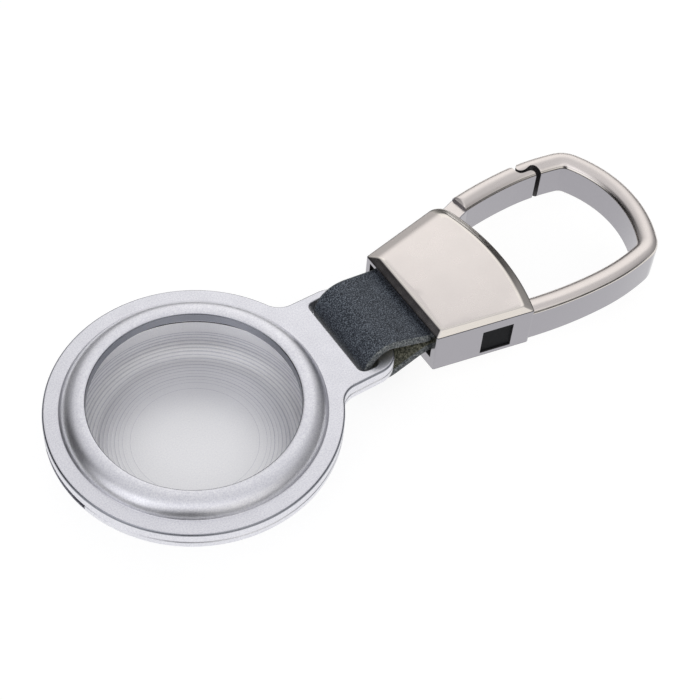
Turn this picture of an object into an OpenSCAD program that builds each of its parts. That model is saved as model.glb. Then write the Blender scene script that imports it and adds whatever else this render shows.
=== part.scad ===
// Tracker tag holder: a two-part round metal case with a clear window, a folded
// leather strap and a carabiner clasp with a sprung gate.
// The origin is the centre of the case's underside. +Z runs up through the window,
// +X towards the hook and +Y to the side of the gate.

/* [Tag] */
// Diameter of the tracker tag that the case holds
tag_d = 31.9; // [30:0.1:33]
// Thickness of the tag
tag_t = 8; // [7:0.1:9]
// Radial play round the tag
tag_play = 0.15; // [0.1:0.05:0.3]
// Play between the tag and the lip of the window
lid_play = 0.1; // [0.05:0.05:0.3]

/* [Case] */
// Width of the rim round the tag's pocket
rim_w = 3.9; // [3.4:0.1:5.9]
// Thickness of the floor under the tag
floor_t = 1; // [0.8:0.1:1.5]
// Thickness of the cup's wall
cup_wall_t = 1.2; // [1.1:0.05:1.5]
// Radius of the cup's corner, inside
cup_corner_r = 3.1; // [2:0.1:3.4]
// Thickness of the front cover's flange
front_flange_t = 1.7; // [1.5:0.1:2]
// Thickness of the back cover's flange
back_flange_t = 1.2; // [1.1:0.05:1.6]
// Width of the lip that holds the tag, from the pocket to the window
lip_w = 1.85; // [1.5:0.05:4]
// Height of the window's wall
window_wall_t = 1.63; // [1.2:0.01:2]
// Height of the round bead above the flange
bead_h = 1.73; // [1.3:0.01:1.9]
// Width of the bead's level crown, round the window
crown_w = 0.85; // [0.65:0.05:1.7]
// Width over which the bead falls from its crown to the flange
bead_fall_w = 2.8; // [2:0.05:3]
// Rounding of the outer edges
case_edge_r = 0.3; // [0.1:0.05:0.4]
// Depth of the fine groove at the parting line
parting_groove = 0.16; // [0.05:0.01:0.25]
// Radial thickness of the front cover's spigot
spigot_t = 0.7; // [0.5:0.05:0.8]
// Depth that the spigot reaches into the back cover
spigot_h = 0.75; // [0.5:0.05:0.9]
// Angle from the strap to the start of each relief gap in the spigot
relief_start_angle = 105; // [95:1:120]
// Angle that each relief gap spans
relief_span_angle = 30; // [10:1:35]
// Length of the pry slot, opposite the strap
pry_w = 10.4; // [6:0.1:14]
// Height of the pry slot
pry_h = 0.8; // [0.5:0.05:1]
// Depth of the pry slot
pry_depth = 1.6; // [0.8:0.1:2.2]

/* [Tab] */
// Width of the tab on each side of its strap slot
tab_side_w = 1.25; // [0.85:0.05:2.1]
// Length of the tab beyond the disc
tab_l = 8.5; // [8:0.1:10]
// Radius of the tab's corners
tab_corner_r = 3.8; // [2:0.1:4.5]
// Radius of the fillets between disc and tab
tab_fillet_r = 3.2; // [2:0.1:4]
// Distance from the tab's end to the strap slot
bar_w = 3.3; // [3:0.05:3.4]
// Width of the strap slot
slot_w = 3.1; // [2.9:0.05:3.4]
// Play on each side of the strap in its slot
slot_play = 0.45; // [0.25:0.05:0.55]
// Radius of the slot's corners
slot_corner_r = 1; // [0.5:0.1:1.4]

/* [Strap] */
// Thickness of the leather
leather_t = 1.2; // [1:0.05:1.25]
// Width of the strap at its loop
strap_w = 12.9; // [11:0.1:14]
// Width of the strap at the clasp
strap_root_w = 14; // [13:0.1:15.6]
// Inner radius of the loop round the tab
loop_r = 2.7; // [2.65:0.05:2.75]
// Radius of the bend that leads each layer out of the mouth, towards the loop
flare_r = 3; // [2:0.1:3.4]
// Gap between the two layers at the clasp's mouth
layer_gap = 1; // [0.8:0.05:1.2]

/* [Clasp] */
// Length of the strap between the tab's end and the housing
strap_reach = 4.7; // [4.5:0.1:7.5]
// Distance from the housing's near end to the corner that the arm leaves
house_l = 14.6; // [14.4:0.1:16]
// Thickness of the housing's side walls at its near end
house_wall_t = 0.97; // [0.9:0.01:1.8]
// Taper of the housing's sides
house_taper = 11.2; // [10:0.1:12]
// Drop of the housing's centre plane below the tab's
clasp_drop = 0.05; // [-0.05:0.05:0.15]
// Height of the housing
house_h = 8.6; // [8.4:0.1:9.4]
// Radius of the housing's curved end
house_end_r = 33.3; // [28:0.1:40]
// Distance from the corner to the crest of the curved end
house_bulge = 2.05; // [1.9:0.05:2.4]
// Width of the bevels on the gate's side of the housing
gate_bevel_w = 1.9; // [1.2:0.05:2.1]
// Width of the bevels on the side away from the gate
side_bevel_w = 0.83; // [0.6:0.01:1.2]
// Width of the bevels at the mouth
mouth_bevel_w = 1.15; // [0.6:0.05:1.3]
// Width of the bevels along the curved end
end_bevel_w = 1.4; // [0.6:0.05:1.5]
// Height of the bevels on both sides and at the mouth
bevel_h = 0.85; // [0.4:0.05:1]
// Height of the bevels along the curved end
end_bevel_h = 0.78; // [0.4:0.02:0.82]
// Radius of the corner beside the gate
knuckle_r = 2.3; // [2.2:0.05:2.4]
// Play on each side of the strap in the housing's mouth
mouth_play = 0.7; // [0.5:0.05:0.8]
// Height of the mouth
mouth_h = 4.4; // [4.3:0.05:4.5]
// Height of the mouth's centre above the housing's centre plane
mouth_rise = 0.6; // [0.5:0.05:0.7]

/* [Hook] */
// Width of the hook's bar, seen from above
hook_w = 3; // [2.8:0.05:3.2]
// Height of the bar's outer side
hook_outer_h = 5.8; // [5.4:0.1:6.2]
// Height of the bar's inner side
hook_inner_h = 4.76; // [4.4:0.02:5.2]
// Height of the bar at its crown
hook_crown_h = 6.5; // [6.2:0.05:6.8]
// Radius of the arm's first, flat stretch
arm_r = 63.9; // [60:0.1:70]
// Radius of the arm's second stretch
arm_end_r = 35; // [33:0.1:38]
// Radius of the hook's corners
hook_corner_r = 3; // [2.5:0.1:3.5]
// Radius of the hook's curved end
hook_end_r = 17.7; // [16:0.1:19]
// Length of the hook, from the corner that the arm leaves to the tip
hook_l = 26.65; // [26.3:0.05:27.2]

/* [Gate] */
// Diameter of the gate's hinge pin
pin_d = 1.6; // [1.4:0.05:1.7]
// Depth of the pin's end below the housing's underside
pin_sink = 0.3; // [0.2:0.05:0.5]
// Width of the gate's tongue
tongue_w = 3; // [2.8:0.05:3.1]
// Height of the gate's tongue
tongue_h = 4.8; // [4.4:0.1:5]
// Distance along X from the pin to the step where the gate's full height starts
tongue_l = 4.7; // [4.4:0.05:4.8]
// Angle that the gate opens
gate_open = 30; // [20:1:32]
// Diameter of the spring's wire
wire_d = 0.3; // [0.2:0.05:0.35]
// Turns of the spring, less the part turn that its legs leave out
spring_turns = 4; // [3:1:5]
// Length of the spring's legs
spring_leg = 2.4; // [2:0.1:2.8]

/* [Clamp bar] */
// Width and height of the square clamp bar
clamp_w = 4.5; // [4.3:0.05:4.6]
// Distance from the housing's near end to the clamp bar
clamp_x = 7.1; // [7:0.05:7.3]
// Drop of the clamp bar's centre below the housing's centre plane
clamp_drop = 0.5; // [0.4:0.05:0.6]
// Depth of the slit that grips the leather
slit_depth = 2.6; // [2:0.1:3]
// Distance from the clamp bar's end face to the housing's side
clamp_recess = 0.25; // [0.1:0.05:0.5]

/* [Fits] */
// Running clearance of the pin in the gate
pin_play = 0.05; // [0.02:0.01:0.08]
// Clearance between pieces that move past each other
gap = 0.1; // [0.06:0.01:0.15]
// Clearance between pieces that stay together
seat_gap = 0.05; // [0.02:0.01:0.08]

/* [Hidden] */
$fn = 96;

// Cutters run past the faces that they cut by this much
over = 2;
// Steps of a curve that is worked out by formula
curve_steps = 12;
flare_steps = 4;

// Heights of the case
lip_z = floor_t + tag_t + lid_play;
rim_z = lip_z + window_wall_t;
flange_z = rim_z - bead_h;
part_z = flange_z - front_flange_t;
back_z = part_z - back_flange_t;

// Radii of the case
pocket_r = tag_d / 2 + tag_play;
disc_r = pocket_r + rim_w;
cup_r = pocket_r + cup_wall_t;
cup_outer_corner_r = cup_corner_r + floor_t;
window_r = pocket_r - lip_w;
crown_r = window_r + crown_w;
bead_r = crown_r + bead_fall_w;
spigot_out_r = pocket_r + spigot_t;
rebate_r = spigot_out_r + gap;
rebate_z = part_z - spigot_h - seat_gap;
bead_foot = case_edge_r / 2;

// The tab, its strap slot and the bar beyond it, which the strap goes round
tab_end = disc_r + tab_l;
slot_l = strap_w + 2 * slot_play;
tab_w = slot_l + 2 * tab_side_w;
slot_x1 = tab_end - bar_w;
slot_x0 = slot_x1 - slot_w;
swing_x = tab_end - bar_w / 2;
swing_z = (flange_z + back_z) / 2;

// The mouth of the housing, which the strap enters
clasp_z = swing_z - clasp_drop;
house_x = tab_end + strap_reach;
mouth_w = strap_root_w + 2 * mouth_play;

// The strap: its bending line in the mouth and its two layers there
loop_out_r = loop_r + leather_t;
flex_inset_share = 0.4;
flex_x = house_x + flex_inset_share * leather_t;
flex_z = clasp_z + mouth_rise;
layers_half = layer_gap / 2 + leather_t;
flex_r = layers_half + gap;

// The clamp bar and the slit in it
bar_x0 = house_x + clamp_x;
bar_x1 = bar_x0 + clamp_w;
bar_z = clasp_z - clamp_drop;
slit_h = 2 * leather_t + 2 * seat_gap;
clamp_far_y = mouth_w / 2 - seat_gap;

// The housing's outline
house_w = mouth_w + 2 * house_wall_t;
house_x1 = house_x + house_l;
house_z0 = clasp_z - house_h / 2;
house_z1 = clasp_z + house_h / 2;
side_slope = tan(house_taper);
corner_y = house_w / 2 + house_l * side_slope;
end_cx = house_x1 + house_bulge - house_end_r;
function side_y(x) = house_w / 2 + (x - house_x) * side_slope;

// The gate's pin stands at the centre of the round corner, which touches the
// slanted side and the curved end alike
knuckle_off = house_w / 2 - house_x * side_slope - knuckle_r / cos(house_taper);
knuckle_a = 1 + side_slope * side_slope;
knuckle_b = end_cx - side_slope * knuckle_off;
knuckle_c = end_cx * end_cx + knuckle_off * knuckle_off
    - pow(house_end_r - knuckle_r, 2);
pin_x = (knuckle_b + sqrt(knuckle_b * knuckle_b - knuckle_a * knuckle_c)) / knuckle_a;
pin_y = side_slope * pin_x + knuckle_off;
pin_r = pin_d / 2;

// The hook's bar: four arcs on each side of the centre line, each tangent to the next.
// Where it leaves the housing its outer side lies a little inside the housing's side.
arm_step = seat_gap;
arm_out_r = arm_r + hook_w / 2;
arm_x = house_x1 + arm_out_r * sin(house_taper);
arm_y = corner_y - arm_step + arm_out_r * (1 - cos(house_taper)) - hook_w / 2;
arm_c = [arm_x, arm_y - arm_r];
arm_end_c = [arm_x, arm_y - arm_end_r];
hook_tip_x = house_x1 + hook_l;
hook_end_c = [hook_tip_x - hook_w / 2 - hook_end_r, 0];
// The corner's centre is where two circles cross
corner_r1 = arm_end_r - hook_corner_r;
corner_r2 = hook_end_r - hook_corner_r;
corner_v = hook_end_c - arm_end_c;
corner_d = norm(corner_v);
corner_s = (corner_d * corner_d + corner_r1 * corner_r1 - corner_r2 * corner_r2)
    / (2 * corner_d);
corner_h = sqrt(corner_r1 * corner_r1 - corner_s * corner_s);
corner_u = corner_v / corner_d;
hook_corner_c = arm_end_c + corner_s * corner_u + corner_h * [corner_u[1], -corner_u[0]];
arm_end_a = atan2(hook_corner_c[1] - arm_end_c[1], hook_corner_c[0] - arm_end_c[0]);
hook_end_a = atan2(hook_corner_c[1] - hook_end_c[1], hook_corner_c[0] - hook_end_c[0]);
// The arm starts this far inside the housing, as an angle
arm_root_a = 1.6;

// The bar's section, from the inner to the outer side, as shares of its half width
// and as steps between its side heights and its crown
section_shares = [[-1, 0, 0], [-0.72, 0.55, 0], [-0.2, 1, 0], [0.35, 1, 1], [0.78, 0.45, 1], [1, 0, 1]];
function section_z(p) = let (side = p[2] == 0 ? hook_inner_h / 2 : hook_outer_h / 2)
    side + p[1] * (hook_crown_h / 2 - side);

// The scarf between the hook's nose and the gate, as shares of the bar's width,
// measured from the nose's inner corner. The first list bounds the hook's nose and
// the second bounds the gate.
nose_back_share = 0.92;
nose_x = hook_corner_c[0] - nose_back_share * hook_w;
nose_y = arm_y - hook_w / 2;
nose_shares = [[0.02, -0.6], [0, 0.08], [-0.06, 0.3], [-0.15, 0.42], [-0.29, 0.47],
               [-0.45, 0.44], [-0.6, 0.39], [-0.78, 0.39], [-0.95, 0.44], [-1.05, 0.55],
               [-1.04, 0.69], [-0.93, 0.82], [-0.76, 0.95], [-0.6, 1.3]];
gate_tip_shares = [[-0.27, -0.6], [-0.27, 0.02], [-0.32, 0.13], [-0.42, 0.21], [-0.56, 0.24],
                   [-0.72, 0.25], [-0.91, 0.27], [-1.05, 0.33], [-1.14, 0.45], [-1.17, 0.6],
                   [-1.16, 0.75], [-1.2, 0.87], [-1.28, 0.96], [-1.5, 1.3]];

// The gate's tongue points from the pin to the start of the gate's curved bar
gate_root_a = 90 + asin((arm_x - pin_x - tongue_l) / arm_r);
gate_start = arm_c + arm_r * [cos(gate_root_a), sin(gate_root_a)];
gate_dir = atan2(gate_start[1] - pin_y, gate_start[0] - pin_x);
tongue_z0 = clasp_z - tongue_h / 2;
// The pin stops short of the housing's top face
pin_cover_share = 0.25;
pin_h = house_h - pin_cover_share * (house_h - tongue_h);
barrel_r = tongue_w / 2 + seat_gap;

// The spring's coil, in a notch of the tongue's barrel
coil_r = pin_r + pin_play + wire_d / 2 + gap;
coil_pitch = wire_d + gap / 2;
leg_rest_a = -75;
// Each leg leaves the coil along its tangent
coil_start_a = leg_rest_a + 90;
coil_end_a = gate_dir - 90 + 360 * spring_turns;
coil_h = coil_pitch * (coil_end_a - coil_start_a) / 360;
notch_h = coil_h + wire_d + 2 * gap;
notch_r = norm([coil_r + wire_d / 2, spring_leg]) + gap;

function arc_points(c, r, a0, a1, n = curve_steps) =
    [for (i = [0:n]) let (a = a0 + (a1 - a0) * i / n) c + r * [cos(a), sin(a)]];

// Case

module front_profile() {
    fall = bead_r - crown_r;
    crown = [for (i = [0:curve_steps]) let (a = 90 * i / curve_steps)
        [crown_r + fall * sin(a), flange_z + bead_foot + (bead_h - bead_foot) * cos(a)]];
    edge = arc_points([disc_r - case_edge_r, flange_z - case_edge_r], case_edge_r, 90, 0, 4);
    polygon(concat(
        [[window_r, lip_z], [window_r, rim_z - bead_foot], [window_r + bead_foot, rim_z]],
        crown,
        [[bead_r + bead_foot, flange_z]],
        edge,
        [[disc_r, part_z + parting_groove], [disc_r - parting_groove, part_z],
         [pocket_r, part_z], [pocket_r, lip_z]]
    ));
}

module back_profile() {
    outer = arc_points([cup_r - cup_outer_corner_r, cup_outer_corner_r], cup_outer_corner_r, -90, 0);
    inner = arc_points([pocket_r - cup_corner_r, floor_t + cup_corner_r], cup_corner_r, 0, -90);
    edge = arc_points([disc_r - case_edge_r, back_z + case_edge_r], case_edge_r, -90, 0, 4);
    polygon(concat(
        [[0, 0]],
        outer,
        [[cup_r, back_z - case_edge_r], [cup_r + case_edge_r, back_z]],
        edge,
        [[disc_r, part_z - parting_groove], [disc_r - parting_groove, part_z],
         [rebate_r, part_z], [rebate_r, rebate_z], [pocket_r, rebate_z]],
        inner,
        [[0, floor_t]]
    ));
}

// Plan of the disc with its tab and fillets, drawn in by inset
module tab_outline(inset) {
    half = tab_w / 2 - inset;
    corner = tab_corner_r - inset;
    end_x = tab_end - inset;
    fillet_y = tab_w / 2 + tab_fillet_r;
    fillet_x = sqrt(pow(disc_r + tab_fillet_r, 2) - fillet_y * fillet_y);
    circle(r = disc_r - inset);
    translate([0, -half])
        square([end_x - corner, 2 * half]);
    translate([0, corner - half])
        square([end_x, 2 * (half - corner)]);
    for (s = [-1, 1]) {
        translate([end_x - corner, s * (half - corner)])
            circle(r = corner);
        difference() {
            polygon([[0, 0], [fillet_x, 0], [fillet_x, s * fillet_y]]);
            translate([fillet_x, s * fillet_y])
                circle(r = tab_fillet_r + inset);
        }
    }
}

module slot_outline() {
    half = slot_l / 2;
    translate([slot_x0, slot_corner_r - half])
        square([slot_w, 2 * (half - slot_corner_r)]);
    translate([slot_x0 + slot_corner_r, -half])
        square([slot_w - 2 * slot_corner_r, 2 * half]);
    for (x = [slot_x0 + slot_corner_r, slot_x1 - slot_corner_r])
        for (y = [slot_corner_r - half, half - slot_corner_r])
            translate([x, y])
                circle(r = slot_corner_r);
}

// The part of a tab plate outside the disc's own revolved profile
module tab_plate(z, t, inset) {
    translate([0, 0, z])
        linear_extrude(t)
            difference() {
                tab_outline(inset);
                circle(r = disc_r - 2 * case_edge_r);
                slot_outline();
            }
}

module sector(r, a0, a1) {
    polygon([[0, 0], for (i = [0:4]) let (a = a0 + (a1 - a0) * i / 4) r * [cos(a), sin(a)]]);
}

module spigot() {
    translate([0, 0, part_z - spigot_h])
        linear_extrude(spigot_h)
            difference() {
                circle(r = spigot_out_r);
                circle(r = pocket_r);
                relief_end_angle = relief_start_angle + relief_span_angle;
                for (s = [-1, 1])
                    sector(2 * disc_r, s * relief_start_angle, s * relief_end_angle);
            }
}

module front_cover() {
    color("gainsboro") {
        rotate_extrude()
            front_profile();
        tab_plate(part_z, parting_groove, parting_groove);
        tab_plate(part_z + parting_groove, front_flange_t - parting_groove, 0);
        spigot();
    }
}

module back_cover() {
    color("silver")
        difference() {
            union() {
                rotate_extrude()
                    back_profile();
                tab_plate(part_z - parting_groove, parting_groove, parting_groove);
                tab_plate(back_z, back_flange_t - parting_groove, 0);
            }
            pry_slot();
        }
}

module pry_slot() {
    difference() {
        translate([-disc_r - over, -pry_w / 2, part_z - pry_h])
            cube([disc_r, pry_w, pry_h + over]);
        cylinder(r = disc_r - pry_depth, h = part_z + over);
    }
}

// Strap

// Direction square to the line that touches two circles and crosses between them;
// the radii add up to sum, and p is the second centre
function tangent_angle(c, sum, p, side) =
    let (v = p - c) atan2(v[1], v[0]) + side * acos(sum / norm(v));

// One side of the leather: out of the mouth with a bend of radius flare, round the
// tab's bar with radius r and back to the mouth
function loop_path(r, half, flare) =
    let (c = [swing_x, swing_z],
         top_c = [flex_x, flex_z + half + flare],
         bottom_c = [flex_x, flex_z - half - flare],
         top_a = tangent_angle(c, r + flare, top_c, 1),
         bottom_a = tangent_angle(c, r + flare, bottom_c, -1))
    concat([[flex_x + flex_r, flex_z + half]],
           arc_points(top_c, flare, 270, 180 + top_a, flare_steps),
           arc_points(c, r, top_a, 360 + bottom_a, 3 * curve_steps),
           arc_points(bottom_c, flare, 180 + bottom_a, 90, flare_steps),
           [[flex_x + flex_r, flex_z - half]]);

function reversed(list) = [for (i = [len(list) - 1:-1:0]) list[i]];

// Plan of the strap, which widens towards the clasp
module strap_plan() {
    x0 = swing_x - loop_out_r - over;
    polygon([[x0, -strap_w / 2], [swing_x, -strap_w / 2], [house_x, -strap_root_w / 2],
             [bar_x1, -strap_root_w / 2], [bar_x1, strap_root_w / 2],
             [house_x, strap_root_w / 2], [swing_x, strap_w / 2], [x0, strap_w / 2]]);
}

// Gives a profile drawn in X and Z the strap's width
module strap_prism() {
    intersection() {
        rotate([90, 0, 0])
            linear_extrude(strap_root_w + 2 * over, center = true)
                children();
        linear_extrude(2 * house_z1)
            strap_plan();
    }
}

module strap_loop() {
    color("#3d464f")
        strap_prism()
            intersection() {
                polygon(concat(loop_path(loop_out_r, layers_half, flare_r),
                               reversed(loop_path(loop_r, layer_gap / 2, flare_r + leather_t))));
                union() {
                    translate([0, -over])
                        square([flex_x, 2 * house_z1]);
                    translate([flex_x, flex_z])
                        circle(r = flex_r);
                }
            }
}

// The strap's two ends, closed together and gripped in the clamp bar
module strap_root() {
    meet_x = flex_x + flex_r + layer_gap;
    grip_x = bar_x0 - leather_t / 2;
    end_x = bar_x0 + slit_depth - seat_gap;
    color("#3d464f")
        strap_prism()
            difference() {
                for (s = [-1, 1])
                    polygon([[flex_x, flex_z + s * layers_half],
                             [meet_x, flex_z + s * leather_t],
                             [grip_x, bar_z + s * leather_t],
                             [end_x, bar_z + s * leather_t],
                             [end_x, bar_z + s * seat_gap / 2],
                             [grip_x, bar_z + s * seat_gap / 2],
                             [meet_x, flex_z + s * seat_gap / 2],
                             [flex_x, flex_z + s * layer_gap / 2]]);
                translate([flex_x, flex_z])
                    circle(r = flex_r + gap);
            }
}

// Clasp

// Plan of the clamp bar, from its seat in the far wall to the near side,
// grown all round by grow
module clamp_plan(grow, recess) {
    polygon([[bar_x0 - grow, clamp_far_y + grow],
             [bar_x1 + grow, clamp_far_y + grow],
             [bar_x1 + grow, recess - side_y(bar_x1)],
             [bar_x0 - grow, recess - side_y(bar_x0)]]);
}

module clamp_bar() {
    color("#15181c")
        difference() {
            translate([0, 0, bar_z - clamp_w / 2])
                linear_extrude(clamp_w)
                    clamp_plan(0, clamp_recess);
            translate([bar_x0 - over, -mouth_w / 2, bar_z - slit_h / 2])
                cube([slit_depth + over, mouth_w, slit_h]);
        }
}

// The housing's outer form: a trapezoid with a curved far end and bevelled faces
module housing_form() {
    length = house_l + house_bulge;
    intersection() {
        translate([end_cx, 0, 0])
            rotate_extrude()
                polygon([[0, house_z0], [house_end_r - end_bevel_w, house_z0],
                         [house_end_r, house_z0 + end_bevel_h],
                         [house_end_r, house_z1 - end_bevel_h],
                         [house_end_r - end_bevel_w, house_z1], [0, house_z1]]);
        both_sides();
        rotate([90, 0, 0])
            linear_extrude(2 * house_w, center = true)
                polygon([[house_x + mouth_bevel_w, house_z0], [house_x + 2 * length, house_z0],
                         [house_x + 2 * length, house_z1], [house_x + mouth_bevel_w, house_z1],
                         [house_x, house_z1 - bevel_h], [house_x, house_z0 + bevel_h]]);
    }
}

// Both slanted sides with their bevels
module both_sides() {
    intersection() {
        side_slab(1, gate_bevel_w);
        side_slab(-1, side_bevel_w);
    }
}

module side_slab(s, bevel_w) {
    translate([house_x, s * house_w / 2, 0])
        rotate([0, 0, s * house_taper])
            rotate([90, 0, 90])
                linear_extrude(4 * house_l, center = true)
                    scale([s, 1])
                        polygon([[-2 * house_w, house_z0], [-bevel_w, house_z0],
                                 [0, house_z0 + bevel_h], [0, house_z1 - bevel_h],
                                 [-bevel_w, house_z1], [-2 * house_w, house_z1]]);
}

// What is cut away round the corner beside the gate
module corner_cut() {
    side_a = 90 + house_taper;
    end_a = atan2(pin_y, pin_x - end_cx);
    far = 3 * knuckle_r;
    linear_extrude(2 * house_z1)
        difference() {
            polygon([[pin_x, pin_y],
                     [pin_x + far * cos(side_a), pin_y + far * sin(side_a)],
                     [pin_x + far, pin_y + far],
                     [pin_x + far * cos(end_a), pin_y + far * sin(end_a)]]);
            translate([pin_x, pin_y])
                circle(r = knuckle_r);
        }
}

// Rings of the bar's section along an arc, one for each step and last more at its end
function bar_rings(c, r, a0, a1, steps, last = 0) =
    [for (i = [0:steps - 1 + last]) let (a = a0 + (a1 - a0) * i / steps, dir = [cos(a), sin(a)])
        concat([for (p = section_shares) bar_point(c + (r + p[0] * hook_w / 2) * dir, -section_z(p))],
               [for (p = reversed(section_shares))
                   bar_point(c + (r + p[0] * hook_w / 2) * dir, section_z(p))])];

function bar_point(xy, z) = [xy[0], xy[1], clasp_z + z];

// The hook's bar: one sweep of its section through all the arcs
module hook_bar() {
    tip_a = acos((nose_x - 2 * hook_w - arm_x) / arm_end_r);
    function across(c) = [c[0], -c[1]];
    solid_from_rings(concat(
        bar_rings(across(arm_c), arm_r, -90 - house_taper - arm_root_a, -90, 6),
        bar_rings(across(arm_end_c), arm_end_r, -90, -arm_end_a, 4),
        bar_rings(across(hook_corner_c), hook_corner_r, -arm_end_a, -hook_end_a, 6),
        bar_rings(hook_end_c, hook_end_r, -hook_end_a, hook_end_a, 12),
        bar_rings(hook_corner_c, hook_corner_r, hook_end_a, arm_end_a, 6),
        bar_rings(arm_end_c, arm_end_r, arm_end_a, tip_a, 6, 1)
    ));
}

// Points of the scarf, from shares of the bar's width
function scarf_points(shares) = [for (p = shares) [nose_x, nose_y] + hook_w * p];

// What the hook's nose leaves free for the gate
module nose_cut() {
    back = nose_x - 3 * hook_w;
    pts = scarf_points(nose_shares);
    linear_extrude(2 * house_z1)
        polygon(concat(pts, [[back, pts[len(pts) - 1][1]], [back, pts[0][1]]]));
}

// What the gate's tip leaves free for the hook's nose
module gate_tip_cut() {
    front = nose_x + hook_w;
    pts = scarf_points(gate_tip_shares);
    linear_extrude(2 * house_z1)
        polygon(concat(pts, [[front, pts[len(pts) - 1][1]], [front, pts[0][1]]]));
}

module at_pin() {
    translate([pin_x, pin_y, 0])
        children();
}

// The room that the gate's tongue swings in
module tongue_room() {
    r = barrel_r + gap;
    reach = 2 * tongue_l;
    shut = gate_dir;
    open = gate_dir - gate_open;
    translate([0, 0, tongue_z0 - gap])
        linear_extrude(tongue_h + 2 * gap)
            at_pin() {
                circle(r = r);
                polygon([r * [cos(shut + 90), sin(shut + 90)],
                         r * [cos(shut + 90), sin(shut + 90)] + reach * [cos(shut), sin(shut)],
                         r * [cos(open - 90), sin(open - 90)] + reach * [cos(open), sin(open)],
                         r * [cos(open - 90), sin(open - 90)]]);
            }
}

// The room that the spring's leg in the housing lies and turns in
module leg_room() {
    open_a = leg_rest_a - gate_open;
    reach = spring_leg + wire_d;
    side = wire_d / 2 + gap;
    function along(a, off, l) = [l * cos(a) - off * sin(a), l * sin(a) + off * cos(a)];
    translate([0, 0, clasp_z - notch_h / 2])
        linear_extrude(notch_h)
            at_pin()
                polygon([[0, 0], along(leg_rest_a, coil_r + side, 0),
                         along(leg_rest_a, coil_r + side, reach),
                         along((leg_rest_a + open_a) / 2, coil_r, reach),
                         along(open_a, coil_r - side, reach), along(open_a, coil_r - side, 0)]);
}

module pin_bore() {
    at_pin()
        translate([0, 0, house_z0 - over])
            cylinder(r = pin_r, h = pin_h + over);
}

module mouth_cut() {
    translate([house_x - over, -mouth_w / 2, flex_z - mouth_h / 2])
        cube([bar_x0 - house_x + over + seat_gap, mouth_w, mouth_h]);
    translate([bar_x0 - over, -mouth_w / 2, bar_z - clamp_w / 2 - seat_gap])
        cube([clamp_w + over + seat_gap, mouth_w, clamp_w + 2 * seat_gap]);
}

module clamp_hole() {
    translate([0, 0, bar_z - clamp_w / 2 - seat_gap])
        linear_extrude(clamp_w + 2 * seat_gap)
            clamp_plan(seat_gap, -over);
}

module clasp_body() {
    color("#d4cbc6")
        difference() {
            union() {
                difference() {
                    housing_form();
                    corner_cut();
                }
                difference() {
                    hook_bar();
                    nose_cut();
                }
            }
            mouth_cut();
            clamp_hole();
            tongue_room();
            leg_room();
            pin_bore();
        }
}

// Gate

module gate() {
    color("#c9c0bb")
        difference() {
            union() {
                difference() {
                    solid_from_rings(concat(
                        bar_rings(arm_end_c, arm_end_r, acos((nose_x - arm_x) / arm_end_r), 90, 3),
                        bar_rings(arm_c, arm_r, 90, gate_root_a, 5, 1)
                    ));
                    gate_tip_cut();
                }
                translate([0, 0, tongue_z0])
                    linear_extrude(tongue_h)
                        at_pin() {
                            circle(r = barrel_r);
                            rotate([0, 0, gate_dir])
                                translate([0, -tongue_w / 2])
                                    square([tongue_l + hook_w / 2, tongue_w]);
                        }
            }
            at_pin() {
                translate([0, 0, tongue_z0 - over])
                    cylinder(r = pin_r + pin_play, h = tongue_h + 2 * over);
                translate([0, 0, clasp_z - notch_h / 2])
                    cylinder(r = notch_r, h = notch_h);
            }
        }
}

module gate_pin() {
    color("#b9b1ad")
        at_pin()
            translate([0, 0, house_z0 + pin_sink])
                cylinder(r = pin_r, h = pin_h - pin_sink);
}

// A torsion spring: one unbroken wire with a coil round the pin and two legs
module gate_spring() {
    steps = 14;
    sides = 6;
    coil_a = coil_end_a - coil_start_a;
    n = ceil(steps * coil_a / 360);
    coil = [for (i = [0:n]) let (a = coil_start_a + coil_a * i / n)
        [coil_r * cos(a), coil_r * sin(a), coil_h * (i / n - 1 / 2)]];
    function leg(a, s, z) = [coil_r * cos(a) - s * spring_leg * sin(a),
                             coil_r * sin(a) + s * spring_leg * cos(a), z];
    path = concat([leg(coil_start_a, -1, -coil_h / 2)], coil, [leg(coil_end_a, 1, coil_h / 2)]);
    color("#8f9296")
        at_pin()
            translate([0, 0, clasp_z])
                wire(path, wire_d / 2, sides);
}

// A tube of a few sides along a path, whose frame keeps the Z axis in view
module wire(path, r, sides) {
    n = len(path);
    function dir(i) = let (v = path[min(i + 1, n - 1)] - path[max(i - 1, 0)]) v / norm(v);
    function out(i) = let (v = cross(dir(i), [0, 0, 1])) v / norm(v);
    solid_from_rings([for (i = [0:n - 1]) let (u = out(i), w = cross(u, dir(i)))
        [for (k = [0:sides - 1]) let (a = 360 * k / sides) path[i] + r * (cos(a) * u + sin(a) * w)]]);
}

// A closed solid through rings of points, all with the same number of points
module solid_from_rings(rings) {
    n = len(rings);
    m = len(rings[0]);
    pts = [for (ring = rings) each ring];
    walls = [for (i = [0:n - 2]) for (k = [0:m - 1])
        [i * m + k, i * m + (k + 1) % m, (i + 1) * m + (k + 1) % m, (i + 1) * m + k]];
    ends = [[for (k = [m - 1:-1:0]) k], [for (k = [0:m - 1]) (n - 1) * m + k]];
    polyhedron(pts, concat(walls, ends));
}

front_cover();
back_cover();
strap_loop();
strap_root();
clamp_bar();
clasp_body();
gate();
gate_pin();
gate_spring();
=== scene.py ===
"""Looks of a tracker tag holder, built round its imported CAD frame.

Sizes are millimetres, which shells turn into metres, unless a name ends in _M. The origin is
the centre of the case's flat underside; +Z runs up through the window, +X towards the hook.
"""
from math import (acos, asin, atan2, copysign, cos, degrees, hypot, inf, pi, radians, sin,
                  sqrt, tan)

import bmesh
import bpy
import numpy as np
from mathutils import Matrix, Vector
from mathutils.geometry import delaunay_2d_cdt


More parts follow.
